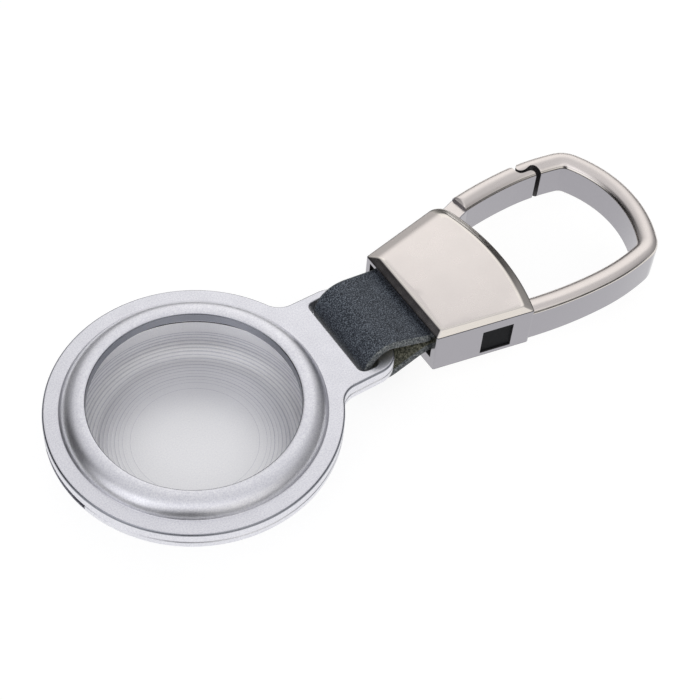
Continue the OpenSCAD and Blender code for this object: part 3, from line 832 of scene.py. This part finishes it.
def strap_line():
    """The middle of the leather in X and Z: from the clamp, round the bar and back."""
    r = LOOP_R + LEATHER_T / 2
    half = (LAYER_GAP + LEATHER_T) / 2
    flare = FLARE_R + LEATHER_T / 2
    top = (FLEX[0], FLEX[1] + half + flare)
    low = (FLEX[0], FLEX[1] - half - flare)
    top_a = tangent_angle(SWING, r + flare, top, 1)
    low_a = tangent_angle(SWING, r + flare, low, -1)
    close = LEATHER_T / 2 + GRIP_CLEAR
    into = [(CLAMP_X[0] + GRIP_L, CLAMP_Z + close), (CLOSE_X[0], CLAMP_Z + close),
            (CLOSE_X[1], CLAMP_Z + CLOSE_RISE[0] + close),
            (CLOSE_X[2], FLEX[1] + CLOSE_RISE[1] + close),
            (CLOSE_X[3], FLEX[1] + half - CLOSE_DIP)]
    out = [(x, 2 * (FLEX[1] if x < CLOSE_X[1] else CLAMP_Z) - z) for x, z in into]
    out[2] = (CLOSE_X[1], FLEX[1] - CLOSE_RISE[0] - close - LOW_EASE)
    head = arc(*top, flare, 270, 180 + top_a, FLARE_STEPS)
    loop = arc(*SWING, r, top_a, 360 + low_a, LOOP_STEPS)
    tail = arc(*low, flare, 180 + low_a, 90, FLARE_STEPS)
    return (into + head + [midway(head[-1], loop[0])] + loop
            + [midway(loop[-1], tail[0])] + tail + out[::-1])


def strap_half(x):
    """Half the strap's width, which grows towards the clasp."""
    share = min(max((x - SWING[0]) / (HOUSE_X[0] - SWING[0]), 0), 1)
    return STRAP_HALF + share * (STRAP_ROOT_HALF - STRAP_HALF)


def strap():
    shell = Shell()
    line = np.array(spline(strap_line(), steps=2))
    half_t = LEATHER_T / 2
    cut = LEATHER_EDGE_R
    spread = np.linspace(-1, 1, ACROSS_STEPS + 1)
    edge = arc(0, 0, cut, 90, 0, LEATHER_EDGE_STEPS)
    rings = []
    for p, n in zip(line, normals(line)):
        w = strap_half(p[0])
        side = [(w - cut + x, half_t - cut + y) for x, y in edge]
        half = [(y * (w - cut), half_t) for y in spread]
        half += side[1:] + [(y, -t) for y, t in reversed(side)]
        ring = half + [(-y, -t) for y, t in half[1:-1]]
        rings.append(shell.loop([(p[0] + n[0] * t, y, p[1] + n[1] * t) for y, t in ring]))
    edges = [EDGE] * (2 * LEATHER_EDGE_STEPS + 1)
    shell.skin(rings, [GRAIN] * ACROSS_STEPS + edges + [FLESH] * ACROSS_STEPS + edges)
    shell.face(rings[0], EDGE)
    shell.face(rings[-1], EDGE)
    obj = solid("strap_leather", shell, [GRAIN, EDGE, FLESH])
    finish_mesh(obj, STRAP_SHARP)
    apply_modifiers(obj)
    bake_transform(obj)
    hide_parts("strap_loop", "strap_root")


# Arcs of the hook and the gate

# How far the nose lies back from the far corner, as a share of the bar's width
NOSE_SHARE = 0.92


def corner_centre(c1, r1, c2, r2):
    """The point r1 from c1 and r2 from c2 that lies to the right on the way from c1 to c2."""
    v = c2 - c1
    d = np.linalg.norm(v)
    s = (d * d + r1 * r1 - r2 * r2) / (2 * d)
    u = v / d
    return c1 + s * u + sqrt(r1 * r1 - s * s) * np.array([u[1], -u[0]])


corner_y = HOUSE_HALF + (HOUSE_X[1] - HOUSE_X[0]) * tan(TAPER)
arm_out_r = ARM_R + BAR_W / 2
arm_x = HOUSE_X[1] + arm_out_r * sin(TAPER)
arm_y = corner_y - ARM_STEP + arm_out_r * (1 - cos(TAPER)) - BAR_W / 2
arm_c = np.array([arm_x, arm_y - ARM_R])
arm_end_c = np.array([arm_x, arm_y - ARM_END_R])
hook_end_c = np.array([HOOK_TIP_X - BAR_W / 2 - END_BAR_R, 0])
corner_c = corner_centre(arm_end_c, ARM_END_R - CORNER_R, hook_end_c, END_BAR_R - CORNER_R)
arm_end_a = bearing(arm_end_c, corner_c)
hook_end_a = bearing(hook_end_c, corner_c)
nose_x = corner_c[0] - NOSE_SHARE * BAR_W
nose_y = arm_y - BAR_W / 2
gate_root_a = 90 + degrees(asin((arm_x - PIN[0] - TONGUE_L) / ARM_R))
gate_start = arm_c + ARM_R * np.array([cos(radians(gate_root_a)), sin(radians(gate_root_a))])
gate_dir = bearing(PIN, gate_start)


# Housing

# Bevels of the housing's near, gate, mouth and hook sides: width, and how far the lower and
# the upper edge are rounded. The gate's side runs softly into the face.
BEVELS = [(0.83, 0.12, 0.1), (1.9, 0.2, 0.7), (1.05, 0.14, 0.2), (1.4, 0.2, 0.2)]
# Depths below the face, from the wall up, where the bevels have a ring
BEVEL_DROPS = [BEVEL_H + 0.1, BEVEL_H + 0.04, BEVEL_H, BEVEL_H - 0.05, 0.7, 0.5, 0.3, 0.2, 0.13,
               0.08, 0.05, 0.025, 0.01, 0.003]
# Depth where a bevel's section starts on the wall, steps of its roundings, and a height that
# sets level points of it apart
WALL_DROP = 1.4
BEVEL_STEPS = 8
APART = 1e-9
# Width of the level ring inside the bevels, and spacing of the points on the faces
LEVEL_RING = 0.2
FACE_GRID = 1.1
# Height of the dark line, painted shade, where the bevels meet the walls, and how far down
# it starts
EDGE_LINE = 0.17
LINE_DROP = 0.12
# How far the faces drop from their middle, where that is, how far off the whole drop is
# reached along X and Y, and the most times that it is taken
FACE_DROP = 0.14
FACE_MID = (40.5, 2.5)
FACE_REACH = (8, 9)
MOST_DROPS = 2
# On the gate's side, a bevel's edges are longer than this and this near the taper's slope
SIDE_LEAST = 1
SIDE_SLOPE = 0.2
# How far the mouth starts before the housing, and where the clamp bar's seat ends outside it
MOUTH_OUT = 2
SEAT_END_Y = -12
# The opening between mouth and seat: its length and how far it runs into both
REACH_L = 2
REACH_LAP = 0.1
HOUSE_SOFT = 0.07
# Room round the tongue in its slot, to the sides and up and down
TONGUE_ROOM = 0.15
TONGUE_ROOM_H = 0.1


def meet(n1, d1, n2, d2):
    """Where two lines n . p = d cross."""
    return np.linalg.solve(np.array([n1, n2]), np.array([d1, d2]))


def meet_circle(n, d, cx, r):
    """Where the line n . p = d crosses the circle round (cx, 0), on the side of +X."""
    n = np.array(n)
    along = np.array([-n[1], n[0]])
    foot = n * d
    rel = foot - np.array([cx, 0])
    b = along @ rel
    root = sqrt(b * b - rel @ rel + r * r)
    hits = [foot + along * (-b + s * root) for s in (1, -1)]
    return max(hits, key=lambda p: p[0])


def housing_plan(near_in, far_in, mouth_in, end_in):
    """The housing's outline, each side drawn in by its own inset, counter-clockwise."""
    near = (-sin(TAPER), -cos(TAPER))
    far = (-sin(TAPER), cos(TAPER))
    left = (-1.0, 0.0)
    side_d = near[0] * HOUSE_X[0] + near[1] * -HOUSE_HALF
    near_d = side_d - near_in - UPRIGHT_R
    left_d = -HOUSE_X[0] - mouth_in - UPRIGHT_R
    end_r = END_R - end_in
    knuckle = max(KNUCKLE_R - end_in, KNUCKLE_LEAST_R)
    c1 = meet(near, near_d, left, left_d)
    c2 = meet_circle(near, near_d, END_CX, end_r - UPRIGHT_R)
    c3 = meet_circle(far, side_d - far_in - knuckle, END_CX, end_r - knuckle)
    c4 = meet(far, side_d - far_in - UPRIGHT_R, left, left_d)
    near_a = bearing((0, 0), near) % 360
    far_a = bearing((0, 0), far)
    low_a = bearing((END_CX, 0), c2)
    high_a = bearing((END_CX, 0), c3)
    return (arc(*c1, UPRIGHT_R, 180, near_a, 6) + arc(*c2, UPRIGHT_R, near_a, low_a + 360, 6)
            + arc(END_CX, 0, end_r, low_a, high_a, 60)[1:-1]
            + arc(*c3, knuckle, high_a, far_a, 20) + arc(*c4, UPRIGHT_R, far_a, 180, 6))


def bevel_insets():
    """Inset of each side at each depth below the face."""
    table = []
    for width, low, high in BEVELS:
        line = rounded([(0, WALL_DROP), (0, BEVEL_H), (width, 0), (width + 1, 0)],
                       [0, low, high, 0], BEVEL_STEPS)
        line = np.array(line)
        heights = line[:, 1] + np.arange(len(line)) * -APART
        table.append(np.interp(-np.array(BEVEL_DROPS), -heights, line[:, 0]))
    return np.array(table).T


def housing():
    shell = Shell()
    insets = list(bevel_insets())
    insets.append(insets[-1] + LEVEL_RING)
    heights = [HOUSE_HALF_H - d for d in BEVEL_DROPS + [0]]
    levels = [(i, -h) for i, h in zip(insets[::-1], heights[::-1])] + list(zip(insets, heights))
    loops = [shell.loop(lift(housing_plan(*i), CLASP_Z + h)) for i, h in levels]
    # Walls below the line, then a thin band painted dark as shade, then the bright bevels
    line_h = HOUSE_HALF_H - BEVEL_H - LINE_DROP
    for (_, h0), (_, h1), a, b in zip(levels, levels[1:], loops, loops[1:]):
        over = min(abs(h0), abs(h1)) - line_h if h0 * h1 > 0 else -1
        shell.band(a, b, POLISHED_SHADED if over < 0 else LINE_SHADE if over < EDGE_LINE else BRIGHT)
    satin_side(shell)
    shell.cap(loops[0], grid=FACE_GRID)
    shell.cap(loops[-1], grid=FACE_GRID)
    crown_faces(shell)
    obj = solid("clasp_housing", shell, [SATIN, POLISHED_SHADED, INSIDE_SHADE, BRIGHT, LINE_SHADE])
    carve(obj, [*clamp_room(), tongue_room()])
    soften(obj, HOUSE_SOFT, 2)
    settle(obj, "clasp", CLASP_SHARP, ["clasp_body"])


def satin_side(shell):
    """Gives the bevel on the gate's side the finish of the faces."""
    slope = tan(TAPER)
    for i, face in enumerate(shell.faces):
        (x0, y0, _), (x1, y1, _) = (shell.verts[face[k]] for k in (0, 1))
        along = y0 > 0 and y1 > 0 and abs(x1 - x0) > SIDE_LEAST
        if shell.mats[i] == BRIGHT and along and abs((y1 - y0) / (x1 - x0) - slope) < SIDE_SLOPE:
            shell.mats[i] = SATIN


def crown_faces(shell):
    """Bends both faces a little, highest in their middle."""
    wall_h = HOUSE_HALF_H - BEVEL_H
    for i, (x, y, z) in enumerate(shell.verts):
        share = min(max((abs(z - CLASP_Z) - wall_h) / BEVEL_H, 0), 1)
        far = ((x - FACE_MID[0]) / FACE_REACH[0]) ** 2 + ((y - FACE_MID[1]) / FACE_REACH[1]) ** 2
        drop = FACE_DROP * min(far, MOST_DROPS) * share
        shell.verts[i] = (x, y, z - copysign(drop, z - CLASP_Z))


def clamp_room():
    """Cutters for the mouth, the clamp bar's seat and the opening between them."""
    low = CLAMP_Z - CLAMP_HALF - CLAMP_CLEAR
    high = CLAMP_Z + CLAMP_HALF + CLAMP_CLEAR
    mouth = box_plan(HOUSE_X[0] - MOUTH_OUT, CLAMP_X[0] + CLAMP_CLEAR, -MOUTH_HALF, MOUTH_HALF)
    seat = box_plan(CLAMP_X[0] - CLAMP_CLEAR, CLAMP_X[1] + CLAMP_CLEAR, SEAT_END_Y, MOUTH_HALF)
    reach = box_plan(CLAMP_X[0] - REACH_L, CLAMP_X[0] + REACH_LAP, -MOUTH_HALF, MOUTH_HALF)
    # The cut faces take the cutters' dark finish: painted shade in the openings
    return [prism("mouth", mouth, *MOUTH_Z, INSIDE_SHADE), prism("seat", seat, low, high, INSIDE_SHADE),
            prism("reach", reach, low, MOUTH_Z[0] + REACH_LAP, INSIDE_SHADE)]


def turn(point, angle):
    """A point turned about the pin, given from the pin."""
    c, s = cos(radians(angle)), sin(radians(angle))
    return (PIN[0] + c * point[0] - s * point[1], PIN[1] + s * point[0] + c * point[1])


def tongue_room():
    """The slot in the housing that the gate's tongue swings in."""
    r = TONGUE_W / 2 + TONGUE_ROOM
    half_h = TONGUE_HALF_H + TONGUE_ROOM_H
    reach = 2 * TONGUE_L
    open_a = gate_dir - GATE_OPEN
    plan = [turn((reach, r), gate_dir)]
    plan += [turn(p, 0) for p in arc(0, 0, r, gate_dir + 90, open_a + 270, 23)]
    plan += [turn((reach, -r), open_a)]
    return prism("tongue room", plan, CLASP_Z - half_h, CLASP_Z + half_h, INSIDE_SHADE)


# Hook and gate

# The upper half of the bar's section: distance out from its middle and height. Its sides end
# at two heights, and between them lie an inner edge, the crown and an outer edge.
BAR_SIDES = (2.3, 2.52)
BAR_INNER_EDGE = [(-1.47, 2.42), (-1.38, 2.56), (-1.29, 2.66)]
BAR_CROWN = [(-1.27, 2.7), (-0.9, 2.96), (-0.3, 3.15), (0.35, 3.22), (0.9, 3.14), (1.28, 2.94)]
BAR_OUTER_EDGE = [(1.3, 2.91), (1.4, 2.77), (1.48, 2.63)]
# Half heights of the gate's last rings, where its crown runs flat before the step, and the
# angle that they take up
GATE_END = (3.18, 3.12, 3.05, 2.97, 2.88)
GATE_END_ANGLE = 0.45
# Angle by which the near arm runs on into the housing
ROOT_ANGLE = 1.6
# How far the hook's nose runs on before it is cut, in bar widths
NOSE_RUN = 2
# The cuts that part the nose from the gate's tip, in shares of the bar's width from nose_x
# and the bar's inner side
NOSE_SHARES = [(0.02, -0.6), (0, 0.08), (-0.06, 0.3), (-0.15, 0.42), (-0.29, 0.47),
               (-0.45, 0.44), (-0.6, 0.39), (-0.78, 0.39), (-0.95, 0.44), (-1.05, 0.55),
               (-1.04, 0.69), (-0.93, 0.82), (-0.76, 0.95), (-0.6, 1.3)]
TIP_SHARES = [(-0.27, -0.6), (-0.27, 0.02), (-0.32, 0.13), (-0.42, 0.21), (-0.56, 0.24),
              (-0.72, 0.25), (-0.91, 0.27), (-1.05, 0.33), (-1.14, 0.45), (-1.17, 0.6),
              (-1.16, 0.75), (-1.2, 0.87), (-1.28, 0.96), (-1.5, 1.3)]
SCARF_CUT = 0.22
BAR_SOFT = 0.09
# How far the tongue runs into the gate, and its edge: full width and the middle of it
TONGUE_LAP = 1.2
TONGUE_EDGE = 0.16
TONGUE_EDGE_MID = 0.05


def bar_section():
    """(out, up, finish) round the bar: polished sides, bright edges and a satin crown.

    The sides' darker colour is painted shade.
    """
    half = BAR_W / 2
    top = [(-half, 0, POLISHED_SHADED), (-half, BAR_SIDES[0], POLISHED_SHADED)]
    top += [(*p, BRIGHT) for p in BAR_INNER_EDGE]
    top += [(*p, SATIN) for p in spline(BAR_CROWN, steps=3)]
    top += [(*p, BRIGHT) for p in BAR_OUTER_EDGE]
    top += [(half, BAR_SIDES[1], POLISHED_SHADED), (half, 0, POLISHED_SHADED)]
    return top + [(o, -h, m) for o, h, m in reversed(top)][1:-1]


def bar(name, body, arcs, cutter, replaces=(), tops=()):
    """The bar's section swept along arcs (centre, radius, start, end, steps), less a cutter.

    Tops are the greatest half heights of the last rings."""
    shell = Shell()
    section = bar_section()
    finishes = [m if m == after else POLISHED_SHADED
                for (_, _, m), (_, _, after) in zip(section, section[1:] + section[:1])]
    total = sum(n for *_, n in arcs) + 1
    rings = []
    for i, (c, r, a0, a1, n) in enumerate(arcs):
        for k in range(n + (i == len(arcs) - 1)):
            a = radians(a0 + (a1 - a0) * k / n)
            left = total - 1 - len(rings)
            top = tops[-1 - left] if left < len(tops) else inf
            rings.append(shell.loop([(c[0] + (r + o) * cos(a), c[1] + (r + o) * sin(a),
                                      CLASP_Z + min(max(h, -top), top)) for o, h, _ in section]))
    shell.tube(rings, finishes, POLISHED_SHADED)
    obj = solid(name, shell, [SATIN, POLISHED_SHADED, BRIGHT])
    carve(obj, [cutter])
    soften(obj, BAR_SOFT, 3)
    settle(obj, body, CLASP_SHARP, replaces)


def scarf(name, shares, far_x, material):
    """A cutter that ends in an outline of shares and reaches to far_x."""
    pts = [(nose_x + BAR_W * a, nose_y + BAR_W * b) for a, b in shares]
    line = rounded(pts, [0] + [SCARF_CUT] * (len(pts) - 2) + [0], steps=4)
    plan = line + [(far_x, line[-1][1]), (far_x, line[0][1])]
    return prism(name, plan, 0, 2 * CLASP_Z, material)


def mirrored(c):
    """A centre's mirror image on the near side."""
    return np.array([c[0], -c[1]])


def hook():
    nose_a = degrees(acos((nose_x - NOSE_RUN * BAR_W - arm_x) / ARM_END_R))
    # The nose's cut faces take the dark finish: painted shade in the gap
    cutter = scarf("nose", NOSE_SHARES, nose_x - 2 * NOSE_RUN * BAR_W, INSIDE_SHADE)
    bar("clasp_hook", "clasp", [
        (mirrored(arm_c), ARM_R, -90 - degrees(TAPER) - ROOT_ANGLE, -90, 16),
        (mirrored(arm_end_c), ARM_END_R, -90, -arm_end_a, 16),
        (mirrored(corner_c), CORNER_R, -arm_end_a, -hook_end_a, 14),
        (hook_end_c, END_BAR_R, -hook_end_a, hook_end_a, 40),
        (corner_c, CORNER_R, hook_end_a, arm_end_a, 14),
        (arm_end_c, ARM_END_R, arm_end_a, nose_a, 16),
    ], cutter)


def gate():
    flat_a = gate_root_a - GATE_END_ANGLE
    cutter = scarf("tip", TIP_SHARES, nose_x + BAR_W, POLISHED_SHADED)
    bar("gate_bar", "gate", [
        (arm_end_c, ARM_END_R, degrees(acos((nose_x - arm_x) / ARM_END_R)), 90, 12),
        (arm_c, ARM_R, 90, flat_a, 18),
        (arm_c, ARM_R, flat_a, gate_root_a, len(GATE_END)),
    ], cutter, ["gate"], GATE_END)


def tongue():
    """The flat root of the gate, round the pin, with a fine lip before the step."""
    shell = Shell()
    r = TONGUE_W / 2
    length = TONGUE_L + TONGUE_LAP
    low = [(TONGUE_EDGE, -TONGUE_HALF_H), (TONGUE_EDGE_MID, TONGUE_EDGE_MID - TONGUE_HALF_H),
           (0, TONGUE_EDGE - TONGUE_HALF_H)]
    loops = []
    for d, z in low + [(d, -z) for d, z in reversed(low)]:
        plan = [turn(p, gate_dir) for p in arc(0, 0, r - d, 90, 270, 24)]
        plan += [turn((length, d - r), gate_dir), turn((length, r - d), gate_dir)]
        loops.append(shell.loop(lift(plan, CLASP_Z + z)))
    shell.tube(loops, POLISHED_SHADED)
    obj = solid("gate_tongue", shell, [SATIN, POLISHED_SHADED])
    settle(obj, "gate", CLASP_SHARP)


# Light, floor and camera

WHITE = (1, 1, 1, 1)
# Soft areas of the tent: direction (azimuth, elevation), the angles from it where each starts
# to fade and ends, and its colour, which is taken away where it is negative
TENT_BASE = (0.38, 0.38, 0.385)
TENT = [
    ((0, 90), (10, 54), (0.42, 0.42, 0.43)),
    ((52, 34), (4, 30), (0.8, 0.79, 0.77)),
    ((187, 36), (8, 34), (0.92, 0.92, 0.93)),
    ((277, 36), (8, 34), (0.58, 0.57, 0.54)),
    ((232, 62), (8, 30), (0.25, 0.25, 0.25)),
    ((232, 20), (6, 28), (-0.3, -0.3, -0.3)),
    ((142, 34), (12, 34), (-0.45, -0.45, -0.45)),
]
TENT_LEAST = (0.02, 0.02, 0.02)
# The tent starts above the table: heights (sines of the elevation) where it is dark and full
TENT_GAP = (0.03, 0.4)
GAP_LEVEL = 0.1
# The floor's half width and how far it lies below the object, in metres
FLOOR_HALF_M = 1.5
FLOOR_DROP_M = 2e-5
# Grey of the floor as it lights the object, and as it is seen: a glow and a share of light
FLOOR_GREY = 0.9
SEEN_GREY = 0.2
SEEN_GLOW = 0.88
# The camera: azimuth, elevation and roll, what it looks at and from how far, focal length
# and picture width in pixels, its film's width and the nearest and farthest it sees
CAMERA_ANGLES = (-38.226, 52.231, 5.76)
CAMERA_AIM = (22.869, -2.841, 9.0)
CAMERA_DISTANCE = 236.6
FOCAL_PIXELS = 1733.3
PICTURE_PIXELS = 700
FILM_W = 36
CLIP_M = (0.01, 10)


def mixed(tree, fac, a, b):
    return add_node(tree, "MixShader", {0: fac, 1: a, 2: b}).outputs[0]


def any_ray(tree, *kinds):
    """1 where the ray is of one of these kinds."""
    path = add_node(tree, "LightPath")
    total = path.outputs[kinds[0]]
    for kind in kinds[1:]:
        either = add_node(tree, "Math", {0: total, 1: path.outputs[kind]}, operation="MAXIMUM")
        total = either.outputs[0]
    return total


def smooth_rise(tree, value, start, end, low=0.0):
    """Low before start and 1 after end, with a smooth rise between."""
    node = add_node(tree, "MapRange",
                    {"Value": value, "From Min": start, "From Max": end, "To Min": low},
                    interpolation_type="SMOOTHSTEP")
    return node.outputs[0]


def toward(azimuth, elevation):
    """Unit vector by compass angle from +X and height, in degrees."""
    a, e = radians(azimuth), radians(elevation)
    return (cos(a) * cos(e), sin(a) * cos(e), sin(e))


def studio():
    """A light tent: bright areas above, beside and beyond the camera, and two dark ones."""
    world = bpy.data.worlds.new("tent")
    bpy.context.scene.world = world
    world.use_nodes = True
    tree = world.node_tree
    tree.nodes.clear()
    ray = add_node(tree, "TexCoord").outputs["Generated"]
    total = add_node(tree, "CombineXYZ", dict(zip("XYZ", TENT_BASE))).outputs[0]
    for place, (inner, outer), color in TENT:
        near = add_node(tree, "VectorMath", {0: ray, 1: toward(*place)},
                        operation="DOT_PRODUCT").outputs["Value"]
        share = smooth_rise(tree, near, cos(radians(outer)), cos(radians(inner)))
        total = add_node(tree, "VectorMath", {0: share, 1: color, 2: total},
                         operation="MULTIPLY_ADD").outputs[0]
    color = add_node(tree, "VectorMath", {0: total, 1: TENT_LEAST},
                     operation="MAXIMUM").outputs[0]
    height = add_node(tree, "SeparateXYZ", {0: ray}).outputs["Z"]
    level = smooth_rise(tree, height, *TENT_GAP, GAP_LEVEL)
    tent = add_node(tree, "Background", {"Color": color, "Strength": level})
    white = add_node(tree, "Background", {"Color": WHITE})
    seen = any_ray(tree, "Is Camera Ray", "Is Transmission Ray")
    add_node(tree, "OutputWorld", {0: mixed(tree, seen, tent.outputs[0], white.outputs[0])})


def floor():
    """A pale floor that shows white and keeps the object's shadow."""
    mesh = bpy.data.meshes.new("floor")
    s, z = FLOOR_HALF_M, -FLOOR_DROP_M
    mesh.from_pydata([(-s, -s, z), (s, -s, z), (s, s, z), (-s, s, z)], [], [(0, 1, 2, 3)])
    obj = new_object("floor", mesh)
    mat = bpy.data.materials.new("floor_white")
    mat.use_nodes = True
    tree = mat.node_tree
    tree.nodes.clear()
    paper, shade = (add_node(tree, "BsdfDiffuse", {"Color": (g, g, g, 1)}).outputs[0]
                    for g in (FLOOR_GREY, SEEN_GREY))
    glow = add_node(tree, "Emission", {"Strength": SEEN_GLOW}).outputs[0]
    white = add_node(tree, "AddShader", {0: glow, 1: shade}).outputs[0]
    seen = any_ray(tree, "Is Camera Ray", "Is Glossy Ray", "Is Transmission Ray")
    add_node(tree, "OutputMaterial", {0: mixed(tree, seen, paper, white)})
    mesh.materials.append(mat)


def camera():
    azimuth, elevation, roll = (radians(a) for a in CAMERA_ANGLES)
    back = Vector((sin(azimuth) * cos(elevation), -cos(azimuth) * cos(elevation), sin(elevation)))
    right = Vector((cos(azimuth), sin(azimuth), 0))
    up = back.cross(right)
    rolled_right = right * cos(roll) + up * sin(roll)
    rolled_up = up * cos(roll) - right * sin(roll)
    data = bpy.data.cameras.new("camera")
    data.sensor_width = FILM_W
    data.lens = FOCAL_PIXELS / PICTURE_PIXELS * FILM_W
    data.clip_start, data.clip_end = CLIP_M
    obj = new_object("camera", data)
    place = (Vector(CAMERA_AIM) + back * CAMERA_DISTANCE) * MM
    obj.matrix_world = Matrix.Translation(place) @ Matrix(
        (rolled_right, rolled_up, back)).transposed().to_4x4()
    bpy.context.scene.camera = obj


front_cover()
back_cover()
strap()
housing()
hook()
gate()
tongue()

for node, material, slot in (("clamp_bar", BLACK, "clamp_black"),
                             ("gate_pin", STEEL, "pin_steel"),
                             ("gate_spring", STEEL, "pin_steel")):
    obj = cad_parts[node]
    obj.data.materials.clear()
    obj.data.materials.append(material)

studio()
floor()
camera()
bpy.context.scene.view_settings.view_transform = "Standard"
